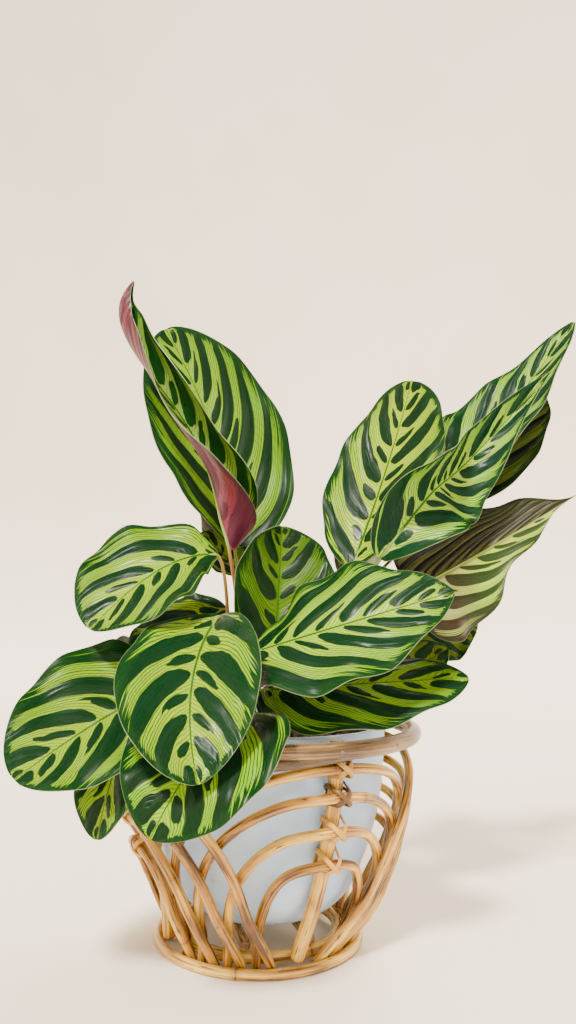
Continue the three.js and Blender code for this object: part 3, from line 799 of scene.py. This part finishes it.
def make_pot():
    wall = [Vector((r, POT_FOOT + h, 0)) for r, h in POT_OUTER]
    outer = [curve_through(wall, i / 44) for i in range(45)]
    # Underneath it is hollow by 1.5 mm, inside the ring that it stands on.
    profile = [(0, POT_FOOT + 1.5), (30, POT_FOOT + 1.5), (33, POT_FOOT)]
    profile += [(p.x, p.y) for p in outer[:-1]]
    edge, top = POT_OUTER[-1][0], outer[-1].y
    lip = POT_WALL / 2
    for i in range(9):
        turn = math.pi * i / 8
        profile.append((edge - lip + lip * math.cos(turn), top - lip + lip * math.sin(turn)))
    profile += [(p.x - POT_WALL, p.y) for p in reversed(outer[6:-4])]
    profile += [(30, POT_FOOT + POT_WALL + 1), (0, POT_FOOT + POT_WALL)]
    bm, _ = new_mesh()
    spin(bm, [world((POT_SHIFT + r, 0, z)) for r, z in profile])
    bmesh.ops.recalc_face_normals(bm, faces=bm.faces[:])
    show(bm, "pot", [make_glaze()], "pot_ceramic", "pot")


make_pot()
print("pot spun, foot at", round(POT_FOOT, 2), "mm")

# %% [markdown]
# ## Soil
# Potting compost is dark, crumbly and never level: a mound with crumbs, bits of bark and a
# few white grains. The surface is a disc whose points are moved up and down by noise, and
# the crumbs are small balls dented by noise and sunk partly in, because roughness in the
# material alone would leave the soil flat when seen from the side. Each crumb carries its
# own colour.

# %% Make the soil
SOIL_EDGE = 106.4
SOIL_DEPTH = 14
SPOKES, RINGS = 120, 48
CRUMBS = 520
CRUMB_REACH = 104
CRUMB_TONES = ["#3a2a1e", "#4d3826", "#2c211a", "#61462e", "#6e5236", "#8a8378"]
TONE_SHARES = (5, 5, 4, 3, 2, 0.5)


def soil_height(x, y):
    middle_rise = 4 * (1 - math.hypot(x, y) / SOIL_EDGE)
    rough = 2.6 * noise.noise(Vector((x, y, 3)) / 21) + 1.2 * noise.noise(Vector((x, y, 9)) / 6)
    return SOIL_TOP - 1 + middle_rise + rough


def make_earth():
    m = Material("potting_compost")
    grain = m.cloud(m.place(), 500.0, 6)
    share = m.smooth(grain, 0.35, 0.7, 0.25, 1)
    m.relief(grain, 0.9, 0.0015)
    return m.finish(m.blend(share, "#120c08", m.own("tint", "Color")), 0.95)


def make_soil():
    bm, (tint,) = new_mesh("tint")
    ground = rgb("#4a382a")

    def point(u, v):
        turn = 2 * math.pi * round(u * SPOKES) / SPOKES
        x, y = SOIL_EDGE * v * math.cos(turn), SOIL_EDGE * v * math.sin(turn)
        return world((x + POT_SHIFT, y, soil_height(x, y)))

    add_grid(bm, SPOKES, RINGS, point, {tint: lambda u, v: ground})
    bmesh.ops.remove_doubles(bm, verts=bm.verts[:], dist=1e-6)
    rim = [edge for edge in bm.edges if edge.is_boundary]
    down = bmesh.ops.extrude_edge_only(bm, edges=rim)["geom"]
    for vert in [item for item in down if isinstance(item, bmesh.types.BMVert)]:
        vert.co.z = world((0, 0, SOIL_TOP - SOIL_DEPTH)).z
    bmesh.ops.holes_fill(bm, edges=[edge for edge in bm.edges if edge.is_boundary], sides=0)
    for _ in range(CRUMBS):
        reach, turn = CRUMB_REACH * math.sqrt(random.random()), random.uniform(0, 2 * math.pi)
        x, y = reach * math.cos(turn), reach * math.sin(turn)
        size = random.uniform(0.8, 3.4) * random.uniform(0.6, 1)
        at = Matrix.Translation(world((x + POT_SHIFT, y, soil_height(x, y) + size * 0.25)))
        turned = Matrix.Rotation(random.uniform(0, 6.3), 4, Vector((random.random(), 0.4, 0.6)))
        scaled = Matrix.Diagonal((random.uniform(0.7, 1.7), 1, random.uniform(0.45, 0.9), 1))
        crumb = bmesh.ops.create_icosphere(
            bm, subdivisions=2, radius=size / 1000, matrix=at @ turned @ scaled
        )["verts"]
        colour = rgb(random.choices(CRUMB_TONES, TONE_SHARES)[0])
        for vert in crumb:
            vert[tint] = colour
            vert.co += (vert.co - at.translation) * 0.5 * noise.noise(vert.co * 900)
    bmesh.ops.recalc_face_normals(bm, faces=bm.faces[:])
    show(bm, "soil", [make_earth()], "soil", "soil")


random.seed(5)  # the same crumbs at each run
make_soil()
print("soil made")

# %% [markdown]
# ## Leaf materials
# The upper side of this calathea's leaf is pale yellow-green, ruled with fine dark lines
# that follow the side veins, and crossed by finer ones. Long dark ovals lie along the
# veins, with a short one between each two, and on the other side of the midrib they are
# shifted by half a step. Outside is a dark green border, into which the pale bands run out
# in points. Each blade carries where a point is: how many vein steps along, how far across
# as a share of the half-width, and how far along the midrib. A painted picture would fit
# one leaf only, so the pattern is a sum of simple shapes in those numbers. Undersides show
# the same pattern in other colours, and the sun shines through a blade, so both mix in a
# translucent shader.


# %% Leaf pattern
def oval(m, t, distance, centre, half_length, half_width):
    """1 inside an oval that lies along a vein, 0 outside."""
    x = m.calc("DIVIDE", m.minus(t, centre), half_length)
    bow = m.calc("MAXIMUM", m.minus(1, m.times(x, x)), 0)
    gap = m.minus(distance, m.times(m.calc("SQRT", bow), half_width))
    return m.smooth(gap, -0.03, 0.0, 1, 0)


def leaf_pattern(m):
    """Gives the shares of oval, border and fine line at a point, and the vein's height."""
    place = m.own("leaf")
    vein, across, along = m.parts(place)
    from_midrib, rib_width, from_edge = m.parts(m.own("rib"))
    t = m.calc("ABSOLUTE", across)
    s = m.line(m.calc("GREATER_THAN", across, 0), 0.46, vein)
    s = m.line(m.cloud(place, 1.0, 2, (1.1, 2.2, 0.7)), 0.4, s)
    step = m.calc("FLOOR", s)
    chance = m.add("TexWhiteNoise", {"W": step}, noise_dimensions="1D").outputs["Value"]

    def from_half(x):
        return m.calc("ABSOLUTE", m.minus(m.calc("FRACT", x), 0.5))

    away = from_half(s)
    reach = m.line(chance, 0.09, 0.45)
    width = m.line(t, -0.06, m.line(chance, 0.07, 0.305))
    large = oval(m, t, away, m.plus(reach, 0.035), reach, width)
    reach = m.line(chance, 0.08, 0.13)
    width = m.line(chance, 0.07, 0.12)
    small = oval(m, t, m.minus(0.5, away), m.plus(reach, 0.025), reach, width)
    fine = m.times(s, 12)
    ruled = from_half(fine)
    lines = m.smooth(m.line(m.cloud(place, 1.0, 2, (5, 3, 2)), 0.2, ruled), 0.38, 0.5)
    bricks = m.line(t, 26, m.times(m.calc("FLOOR", fine), 0.37))
    # Each pale band runs out into the border in points, one between each two fine lines.
    streaks = m.cloud(m.add("CombineXYZ", {0: s, 1: t}).outputs[0], 1.0, 2, (12, 1.2, 1))
    limit = m.line(ruled, -0.16, m.line(streaks, 0.5, 0.65))
    ends = m.plus(m.smooth(along, 0.86, 1.0, 0, 0.3), m.smooth(along, 0.0, 0.1, 0.25, 0))
    border = m.smooth(m.minus(t, m.minus(limit, ends)), -0.025, 0.025)
    return {
        "t": t, "ovals": m.calc("MAXIMUM", large, small), "border": border, "lines": lines,
        "crossed": m.smooth(from_half(bricks), 0.36, 0.46), "streaks": streaks,
        "ridge": m.calc("COSINE", m.times(s, 4 * math.pi)),
        "midrib": m.smooth(m.minus(from_midrib, rib_width), -0.25, 0.15, 1, 0),
        "edge": m.smooth(from_edge, 0.15, 0.5, 0.4, 0),
    }


# %% Leaf materials
def leaf_material(name, names, midrib, border, line_strength, gloss, specular, through):
    """One side of the leaf. names are the blade's two colours for it, pale and deep."""
    m = Material(name)
    p = leaf_pattern(m)
    pale, deep = (m.own(each, "Color") for each in names)
    greener = m.blend(1.0, pale, "#c3e67a", "MULTIPLY")
    ground = m.blend(m.smooth(p["t"], 0.2, 0.9, 0.0, 0.7), pale, greener)
    patches = m.cloud(m.own("leaf"), 2.4, 3)
    ground = m.blend(m.smooth(patches, 0.5, 0.8, 0, 0.35), ground, greener)
    lined = m.blend(0.85, ground, deep)
    strength = m.smooth(p["t"], 0.0, 0.6, 0.55 * line_strength, line_strength)
    ground = m.blend(m.times(p["lines"], strength), ground, lined)
    ground = m.blend(m.times(p["crossed"], 0.3 * line_strength), ground, lined)
    lighter = m.blend(0.55, deep, border)
    dark = m.blend(m.smooth(p["streaks"], 0.35, 0.75, 0, 0.3), deep, lighter)
    dark = m.blend(m.times(p["border"], 0.8), dark, lighter)
    dark = m.blend(m.times(p["lines"], 0.25), dark, "#03100a")
    colour = m.blend(m.calc("MAXIMUM", p["ovals"], p["border"]), ground, dark)
    colour = m.blend(p["midrib"], colour, midrib)
    # A thin pale line follows the rim of the blade.
    colour = m.blend(p["edge"], colour, "#b4c890")
    height = m.line(patches, 0.8, m.line(p["lines"], -0.18, p["ridge"]))
    m.relief(m.line(p["midrib"], -1.2, height), 0.6, 0.0008)
    shine = m.smooth(patches, 0.3, 0.7, gloss - 0.08, gloss + 0.12)
    made = m.finish(colour, shine, Specular_IOR_Level=specular)
    glow = m.add("BsdfTranslucent", {"Color": m.blend(1.0, colour, "#eaff80", "MULTIPLY")})
    both = m.add("MixShader", {0: through, 1: m.shader.outputs[0], 2: glow.outputs[0]})
    m.join(both.outputs[0], m.output.inputs["Surface"])
    return made


# The leaf's waxy upper side
leaf_upper = leaf_material(
    "leaf_upper", ("tint", "deep"), "#35680e", "#164a16",
    line_strength=1.0, gloss=0.3, specular=0.14, through=0.3,
)
# Its underside, with fainter lines
leaf_under = leaf_material(
    "leaf_under", ("under", "under_deep"), "#6a6a2a", "#1c2210",
    line_strength=0.6, gloss=0.34, specular=0.3, through=0.25,
)


# %% Materials of the stalk and the rim of the blade
def make_stalk():
    m = Material("leaf_stalk")
    ribs = m.cloud(m.own("leaf"), 1.0, 2, (0.05, 3, 3))
    m.relief(ribs, 0.3, 0.0003)
    share = m.smooth(ribs, 0.3, 0.8, 0, 0.35)
    return m.finish(m.blend(share, m.own("tint", "Color"), "#5a4a12"), 0.4)


def make_edge():
    m = Material("leaf_edge")
    return m.finish(m.blend(0.35, m.own("deep", "Color"), "#b8c890"), 0.4)


leaf_stalk = make_stalk()  # smooth stalk, and the midrib it goes on in
leaf_edge = make_edge()  # the pale horny rim of the blade
print("leaf materials made")

# %% [markdown]
# ## The leaves' shapes
# A blade is a surface over its midrib. At each place along the midrib an outline gives the
# half-width, and each half leaves the midrib at its fold angle and curls on towards the
# edge, with a few waves. Sculpting would give each leaf its own form too, but not exactly
# that of the measured model, so the same few numbers are used. With them go the colours
# that each leaf shows: pale ground and dark pattern above, the same two below, and the stalk.

# Some leaves' colours are painted light and shade: darker where a leaf lies in deep shade, brighter
# where the sun shines through it.
# %% Table of leaves
GREEN = ("#6f8a1e", "#1c2410")
PURPLE = ("#5e2438", "#36121f")
YOUNG, OLD = "#5c7214", "#8a6a12"
FRESH = ("#97bf08", "#093212", *GREEN, YOUNG)


def leaf(foot, rib, face, width, fold, curl, wave=3, look=FRESH, **others):
    """A leaf's stalk foot, midrib, facing and width, then the bend of its halves."""
    made = {"foot": foot, "rib": [Vector(p) for p in rib], "face": Vector(face), "width": width}
    return {**made, "fold": fold, "curl": curl, "wave": wave, "look": look, **others}


LEAVES = {
    "leaf_upright_left": leaf(
        (-12, 14), [(-31, 9, 359), (-53, 32, 468), (-113, 45, 597)], (0.2, -1, 0.15), 147, [20, 6],
        [14, 4], twist=[17, 0], shape=(0.47, 0.54), sweep=1.7,
        look=("#8abc18", "#0a2e12", *PURPLE, YOUNG),
    ),
    "leaf_rolled": leaf(
        (-16, -14),
        [(-33, -44, 350), (-51, -46, 414), (-86, -41, 482), (-135, -36, 549), (-136, -25, 619)],
        (0.95, 0, 0.33), 88, [31, 45, 20], [73, 75, 40], fold_left=[35, 38, 45, 65, 85],
        curl_left=[80, 55, 30, 40, 50], twist=[68, -58, -65, -50], wave=2.5, shape=(0.38, 0.7),
        sweep=1.5, look=("#a6cc5a", "#1a4a1c", "#8c3450", "#5a1c36", "#9a5a12"),
    ),
    "leaf_upright_right": leaf(
        (26, 12), [(85, 3, 339), (123, 33, 441), (152, 33, 542)], (-0.4, -0.9, 0.1), 122, [18, -8],
        [14, -3], twist=[-8, -19], wave=2.5, shape=(0.5, 0.45), sweep=1.2,
        look=("#b2d80a", "#0a3014", "#5e2438", "#36121f", "#7c8c22"),
    ),
    "leaf_right_front": leaf(
        (36, -8), [(106, -41, 345), (157, -47, 411), (183, -41, 433), (280, -25, 537)],
        (-0.1, -0.95, 0.3), 97, [16, 13], [15, 17], fold_left=[26, 45], twist=[-16, 40, -43], wave=4,
        shape=(0.48, 0.82), sweep=1.5, look=("#a8d844", "#0c3620", "#4a2a18", "#24140c", "#5c7214"),
    ),
    "leaf_right_back": leaf(
        (38, 22), [(159, 15, 438), (234, 30, 492), (325, 25, 609)], (-0.2, -0.95, 0.3), 83, [10, 10],
        [11, 10], fold_left=[21, -6], twist=[5, -13, -35], wave=4, sweep=1.7,
        look=("#a6d648", "#0b341c", "#5a2a22", "#3a1a14", "#5c7214"),
    ),
    # This leaf's colours, above and below, are made very dark: painted deep shade of the leaves in
    # front of it.
    "leaf_right_shade": leaf(
        (30, 34), [(202, 55, 418), (257, 68, 495), (305, 78, 555)], (0.1, -1, 0.1), 91, [10, 9],
        [10, 9], sweep=1.7, look=("#5c6c24", "#0a140a", "#3c2216", "#1a0f0a", "#5c7214"),
    ),
    # Its underside is painted in two lights: the right half dark as painted shade, the left half
    # bright yellow-green as painted light shining through it from behind. Near the base the left
    # half's colours go olive-brown.
    "leaf_right_folded": leaf(
        (42, 6), [(136, -32, 317), (203, -18, 352), (306, -15, 415)], (-0.2, 0.85, 0.5), 130, [30, 30],
        [20, 20], fold_left=[-20, 0], twist=[-14, -12, 39], wave=7, shape=(0.42, 1.15), sweep=2.4,
        sweep_right=6, look=("#b0cc52", "#1e4a14", "#50501e", "#0c0e06", "#6a6a1a"),
        look_left=("#b0cc52", "#1e4a14", "#c6ee3c", "#1e4602", "#6a6a1a"),
        base_look=("#b0cc52", "#1e4a14", "#b4b47c", "#2e2202", "#6a6a1a"),
    ),
    "leaf_right_low_back": leaf(
        (24, 44), [(133, 50, 290), (190, 62, 285), (225, 61, 279)], (0.1, -0.9, 0.45), 95, [10, 6],
        [8, 8], look=("#7c8c22", "#1c3d22", *GREEN, YOUNG),
    ),
    "leaf_right_low": leaf(
        (44, -20), [(96, 22, 249), (133, 26, 239), (184, 20, 262)], (0, -0.85, 0.55), 74, [10, 6],
        [8, 8], look=("#7c8c22", "#1c3d22", *GREEN, YOUNG),
    ),
    "leaf_centre_front": leaf(
        (10, -36), [(-16, -98, 259), (60, -118, 284), (155, -130, 314)], (0, -0.82, 0.57), 132, [3, 0],
        [-6, -3], fold_left=[-10, 24], twist=[-28, 0], wave=5, shape=(0.5, 0.8), sweep=1.5,
        look=("#a4d026", "#0a3216", *GREEN, YOUNG),
    ),
    "leaf_centre_low": leaf(
        (20, -46), [(-3, -79, 228), (65, -98, 235), (173, -101, 243)], (0, -0.6, 0.8), 103, [1, 2],
        [-16, -15], twist=[-9, 4], wave=3.5, sweep=1.4, look=("#88b408", "#092e12", *GREEN, YOUNG),
    ),
    # Its pale ground is darker than the other leaves': painted shade of the leaves above it.
    "leaf_centre_upright": leaf(
        (2, -20), [(10, -45, 244), (13, -22, 324), (15, -15, 378)], (0.1, -0.95, 0.25), 110, [17, 25],
        [8, 8], twist=[5, 24], wave=2.5, look=("#5c8404", "#082a10", *PURPLE, YOUNG),
    ),
    "leaf_left_upper": leaf(
        (-26, -24), [(-42, -61, 345), (-91, -80, 331), (-144, -110, 278)], (-0.2, -0.75, 0.6), 115,
        [12, 9], [7, 6], wave=3.5, shape=(0.9, 0.57), sweep=1.3,
        look=("#99c20c", "#0a3014", *GREEN, OLD),
    ),
    "leaf_left": leaf(
        (-40, -22), [(-82, -94, 230), (-128, -118, 208), (-184, -158, 168)], (-0.25, -0.8, 0.5), 130,
        [10, 7], [10, 5], fold_left=[18, 8], twist=[-4, -7], shape=(0.42, 0.5), sweep=1.2,
    ),
    "leaf_front": leaf(
        (-14, -44), [(-38, -96, 292), (-54, -158, 241), (-44, -202, 175)], (0, -0.85, 0.55), 115,
        [14, 14], [7, 7], twist=[24, -8], wave=2.5, shape=(0.6, 0.6),
        look=("#9ac208", "#0a3316", *GREEN, OLD),
    ),
    "leaf_left_inner": leaf(
        (-30, 0), [(-36, -16, 298), (-82, -26, 274), (-122, -40, 247)], (0, -0.6, 0.8), 83, [7, 4],
        [3, 0], wave=2.5, look=("#90a80a", "#082a10", *GREEN, OLD),
    ),
    "leaf_left_low": leaf(
        (-46, -34), [(-70, -80, 212), (-98, -104, 202), (-115, -127, 170), (-123, -145, 122)],
        (-0.55, -0.7, 0.45), 74, [9, 6], [5, 1], wave=2, shape=(0.95, 0.6),
    ),
    "leaf_front_low": leaf(
        (-6, -56), [(-4, -117, 214), (-43, -169, 191), (-77, -192, 136)], (0, -0.85, 0.55), 120,
        [14, 6], [8, 1], twist=[24, -2], look=("#90c40a", "#092c12", *GREEN, YOUNG),
    ),
    "leaf_left_behind": leaf(
        (-24, 30), [(-28, 40, 332), (-48, 46, 358), (-74, 48, 374)], (0, -0.5, 0.85), 60, [10, 4],
        [4, 0], wave=2, look=("#8ca60a", "#082a10", *GREEN, YOUNG),
    ),
    "leaf_small_right": leaf(
        (60, 10), [(98, 4, 208), (122, 2, 213), (144, -2, 207)], (0, -0.6, 0.8), 34, [10, 4], [4, 0],
        wave=1,
    ),
    "leaf_back_tall": leaf(
        (-8, 34), [(-26, 60, 345), (-46, 88, 420), (-78, 112, 490)], (0.2, 0.9, 0.4), 88, [14, 8],
        [8, 4],
    ),
    "leaf_back_right": leaf(
        (14, 46), [(84, 72, 330), (128, 106, 400), (172, 140, 462)], (-0.3, 0.8, 0.5), 92, [12, 8],
        [8, 6],
    ),
    "leaf_back_left_low": leaf(
        (-40, 24), [(-84, 60, 246), (-132, 104, 236), (-176, 146, 196)], (-0.3, 0.7, 0.7), 96, [10, 4],
        [6, 4],
    ),
    "leaf_back_low": leaf(
        (-4, 52), [(-6, 92, 244), (-14, 150, 240), (-24, 200, 196)], (0, 0.6, 0.8), 104, [10, 4],
        [6, 4],
    ),
    "leaf_back_right_low": leaf(
        (34, 56), [(66, 84, 238), (110, 124, 236), (146, 166, 196)], (0.3, 0.7, 0.7), 92, [10, 4],
        [6, 4],
    ),
    "leaf_back_upper": leaf(
        (8, 60), [(14, 96, 300), (22, 146, 324), (30, 192, 308)], (0, 0.3, 0.95), 90, [12, 4], [8, 4],
    ),
}
print("leaves:", len(LEAVES))

# %% [markdown]
# ## A leaf's surface
# This is the measured model's own formula, read at many more places, so a leaf stays where
# its plain solid was. Only a small ripple towards the edge is new.


# %% The surface of a leaf
def through(values, u):
    """The value at u (0 to 1) of the smooth curve through evenly spaced values."""
    last = len(values) - 1
    total = values[0] * 0
    for i, value in enumerate(values):
        weight = 1.0
        for j in range(last + 1):
            if j != i:
                weight *= (u * last - j) / (i - j)
        total = total + value * weight
    return total


def half_width(leaf, u):
    """From the midrib to the edge, in millimetres, at u from 0 at the base to 1 at the tip."""
    base, tip = leaf.get("shape", (0.5, 0.62))
    widest = base / (base + tip)
    return leaf["width"] / 2 * (u**base * (1 - u) ** tip) / (widest**base * (1 - widest) ** tip)


def leaf_point(leaf, u, v):
    """A point of the blade: u from base to tip, v from -1 (left edge) to 1 (right edge)."""
    rib = leaf["rib"]
    here = through(rib, u)
    along = (through(rib, u + 0.01) - through(rib, u - 0.01)).normalized()
    side = along.cross(leaf["face"]).normalized()
    side.rotate(Matrix.Rotation(math.radians(through(leaf.get("twist", [0, 0]), u)), 3, along))
    up = side.cross(along)
    t = abs(v)
    fold, curl = leaf["fold"], leaf["curl"]
    if v < 0:
        fold, curl = leaf.get("fold_left", fold), leaf.get("curl_left", curl)
    start = math.radians(through(fold, u))
    turn = math.radians(through(curl, u)) or 1e-6
    across = (math.sin(start + turn * t) - math.sin(start)) / turn
    rise = (math.cos(start) - math.cos(start + turn * t)) / turn
    turns = 3.2 * u + (0.15 if v < 0 else 0.6)
    fade = min(1, 6 * u, 5 * (1 - u))
    half = half_width(leaf, u)
    ripple = noise.noise(Vector((9 * u + leaf["width"], 2 if v < 0 else 5, leaf["foot"][0])))
    wave = leaf["wave"] * t * t * math.sin(2 * math.pi * turns) * fade + 2.2 * t**3 * ripple * fade
    return here + side * (half * across * (-1 if v < 0 else 1)) + up * (half * rise + wave)


# %% [markdown]
# ## Making the leaves
# A blade is one bent grid, thickened to half a millimetre, with one material above, one
# below and one on its rim. The stalk is a tube that stands in the soil, bends over to the
# blade and goes on under it as the midrib, ever thinner. A Solidify modifier would thicken
# the blade as well, but the bmesh operator lets each side have its own material at once.

# %% Blades and stalks
BLADE = 0.5
STALK_RADIUS = 2.5
SOIL_HOLE = SOIL_TOP - 12
ROWS, COLUMNS = 56, 28
UNDER, EDGE, STALK = 1, 2, 3  # the places of the leaf's materials after the upper side's


def spread(x):
    """Steps along the blade, closer together towards its base and tip."""
    return 0.5 - 0.4975 * math.cos(math.pi * x)


def add_blade(bm, layers, leaf, number):
    place, tint, deep, under, under_deep, rib_place = layers
    rib_length = lengths([through(leaf["rib"], i / 20) for i in range(21)])[-1]
    period = min(32 + 0.05 * rib_length, 0.32 * rib_length)  # from one side vein to the next

    def vein(u, v):
        """How many side veins lie between the base and the vein that runs through a point."""
        y = half_width(leaf, u) * abs(v)
        sweep = leaf.get("sweep_right" if v > 0 else "sweep", leaf.get("sweep", 1))
        slope = (0.35 + 0.9 * u) * (0.75 + 0.6 * abs(v)) * sweep
        return (u * rib_length - y * slope) / period + 10 * number

    def from_rib(u, v):
        """How far from the midrib, the midrib's own half-width, and how far from the rim."""
        half = half_width(leaf, u)
        return half * abs(v), 1.5 - 1.2 * u, half * (1 - abs(v))

    def point(x, y):
        return world(leaf_point(leaf, spread(x), 2 * y - 1))

    def paint(i):
        left = Vector(rgb(leaf.get("look_left", leaf["look"])[i]))
        right = Vector(rgb(leaf["look"][i]))
        base_left = rgb(leaf["base_look"][i]) if "base_look" in leaf else left

        def read(x, y):
            return left.lerp(Vector(base_left), 1 - ease(x, 0.3, 0.55)) if y < 0.5 else right

        return read

    faces = add_grid(bm, ROWS, COLUMNS, point, {
        place: lambda x, y: (vein(spread(x), 2 * y - 1), 2 * y - 1, spread(x)),
        tint: paint(0), deep: paint(1), under: paint(2), under_deep: paint(3),
        rib_place: lambda x, y: from_rib(spread(x), 2 * y - 1),
    })
    middle_face = min(faces, key=lambda f: (f.calc_center_median() - point(0.5, 0.52)).length)
    upward = (point(0.5, 0.5) - point(0.45, 0.5)).cross(point(0.5, 0.55) - point(0.5, 0.5))
    middle_face.normal_update()
    if middle_face.normal.dot(upward) > 0:
        bmesh.ops.reverse_faces(bm, faces=list(faces))
    own_verts = {vert for face in faces for vert in face.verts}
    for vert in own_verts:
        vert.normal_update()
    bmesh.ops.solidify(bm, geom=list(faces), thickness=BLADE / 1000)
    for face in bm.faces:
        if face not in faces:
            at_rim = any(vert in own_verts for vert in face.verts)
            face.material_index = EDGE if at_rim else UNDER


def stalk_line(leaf):
    """The stalk from the soil to the blade and on along the midrib to the tip."""
    foot = Vector((*leaf["foot"], SOIL_HOLE))
    base = leaf["rib"][0]
    bend = foot.lerp(base, 0.35)
    bend.z = foot.z + 0.55 * (base.z - foot.z)

    def under(u, drop):
        side = leaf_point(leaf, u, 0.01) - leaf_point(leaf, u, -0.01)
        along = leaf_point(leaf, u + 0.01, 0) - leaf_point(leaf, u, 0)
        return leaf_point(leaf, u, 0) - side.cross(along).normalized() * drop

    up = Vector((0, 0, 1))
    knots = [foot, foot + up * 10, foot + up * 19, bend, under(0.01, 1.1), under(0.12, 1.3)]
    line = [curve_through(knots, i / 50) for i in range(51)]
    return line + [under(0.12 + 0.86 * i / 30, 1.3 - 0.9 * i / 30) for i in range(1, 31)]


def add_stalk(bm, layers, leaf):
    place, tint = layers[:2]
    line = stalk_line(leaf)
    run = lengths(line)
    stalk, midrib = Vector(rgb(leaf["look"][4])), Vector(rgb("#7f9a48"))
    top = 40  # the point where the stalk meets the blade
    blade = run[top]

    def radius(i):
        if i <= top:
            return STALK_RADIUS - i / top
        return 1.5 - 1.15 * ((i - top) / 40) ** 0.8

    def colour(i, turn):
        return stalk.lerp(midrib, ease(run[i], blade - 12, blade + 12))

    faces = add_tube(bm, line, radius, 10, {
        place: lambda i, turn: (run[i], 2 * math.cos(turn), 2 * math.sin(turn)),
        tint: colour,
    })
    for face in faces:
        face.material_index = STALK


for number, (name, leaf) in enumerate(LEAVES.items()):
    bm, layers = new_mesh("leaf", "tint", "deep", "under", "under_deep", "rib")
    add_blade(bm, layers, leaf, number)
    add_stalk(bm, layers, leaf)
    show(bm, name, [leaf_upper, leaf_under, leaf_edge, leaf_stalk], "leaf", name)
print("leaves made")

# %% [markdown]
# ## Floor
# The plant stands on a pale floor that curves up far behind into a wall all the way round,
# so no edge shows from any side. A plane and a box would do for one view, but their corner
# would show as a line.

# %% Set the floor
WALL_FROM = 2.4  # where the flat floor starts to rise, in metres
# The floor's height at distances from the plant
FLOOR_PROFILE = [(0, 0), (0.5, 0), (1.5, 0), (2.4, 0), (2.9, 0.1), (3.3, 0.4), (3.5, 0.9), (3.6, 5)]


def make_paper():
    m = Material("warm_white_paper")
    soft = m.cloud(m.place(), 1.2, 2)
    return m.finish(m.blend(m.smooth(soft, 0.3, 0.7), "#ebe0d2", "#efe6da"), 0.8)


def make_floor():
    bm, _ = new_mesh()
    points = [Vector((r, z, 0)) for r, z in FLOOR_PROFILE]
    smoothed = [curve_through(points, i / 42) for i in range(43)]
    spin(bm, [(p.x, 0, p.y if p.x > WALL_FROM else 0) for p in smoothed])
    floor = make_object(bm, "floor", [make_paper()])
    floor.visible_shadow = False  # the wall lets the distant light in


make_floor()
print("floor set")

# %% [markdown]
# ## Light
# The photograph has one bright soft light from above the front left, which leaves clear
# shadows of leaves on leaves. Lamps near the plant would light its front more than its back,
# so this and the two others are suns: a wide weak one fills the shadows from the right, and
# one from behind shines through the blades. A pale sky lights the rest.


# %% Set the lights
def sun(name, azimuth, height, spread_angle, power, colour):
    """Soft distant light. Azimuth 0 comes from behind the camera, 90 from the right."""
    data = bpy.data.lights.new(name, "SUN")
    data.angle = math.radians(spread_angle)
    data.energy = power
    data.color = rgb(colour)
    raised = math.radians(height)
    comes_from = around(azimuth, math.cos(raised), math.sin(raised))
    put(name, data).rotation_euler = comes_from.to_track_quat("Z", "Y").to_euler()


sun("key", -25, 52, 8, 7.4, "#fff8ec")
sun("fill", 50, 25, 60, 0.9, "#eef4ff")
sun("back", 160, 42, 30, 3.6, "#fffbe8")
sky = bpy.data.worlds.new("sky")
sky.use_nodes = True
backdrop = next(n for n in sky.node_tree.nodes if n.type == "BACKGROUND")
backdrop.inputs["Color"].default_value = (*rgb("#e6eefa"), 1)
backdrop.inputs["Strength"].default_value = 0.48
bpy.context.scene.world = sky
print("lights set")
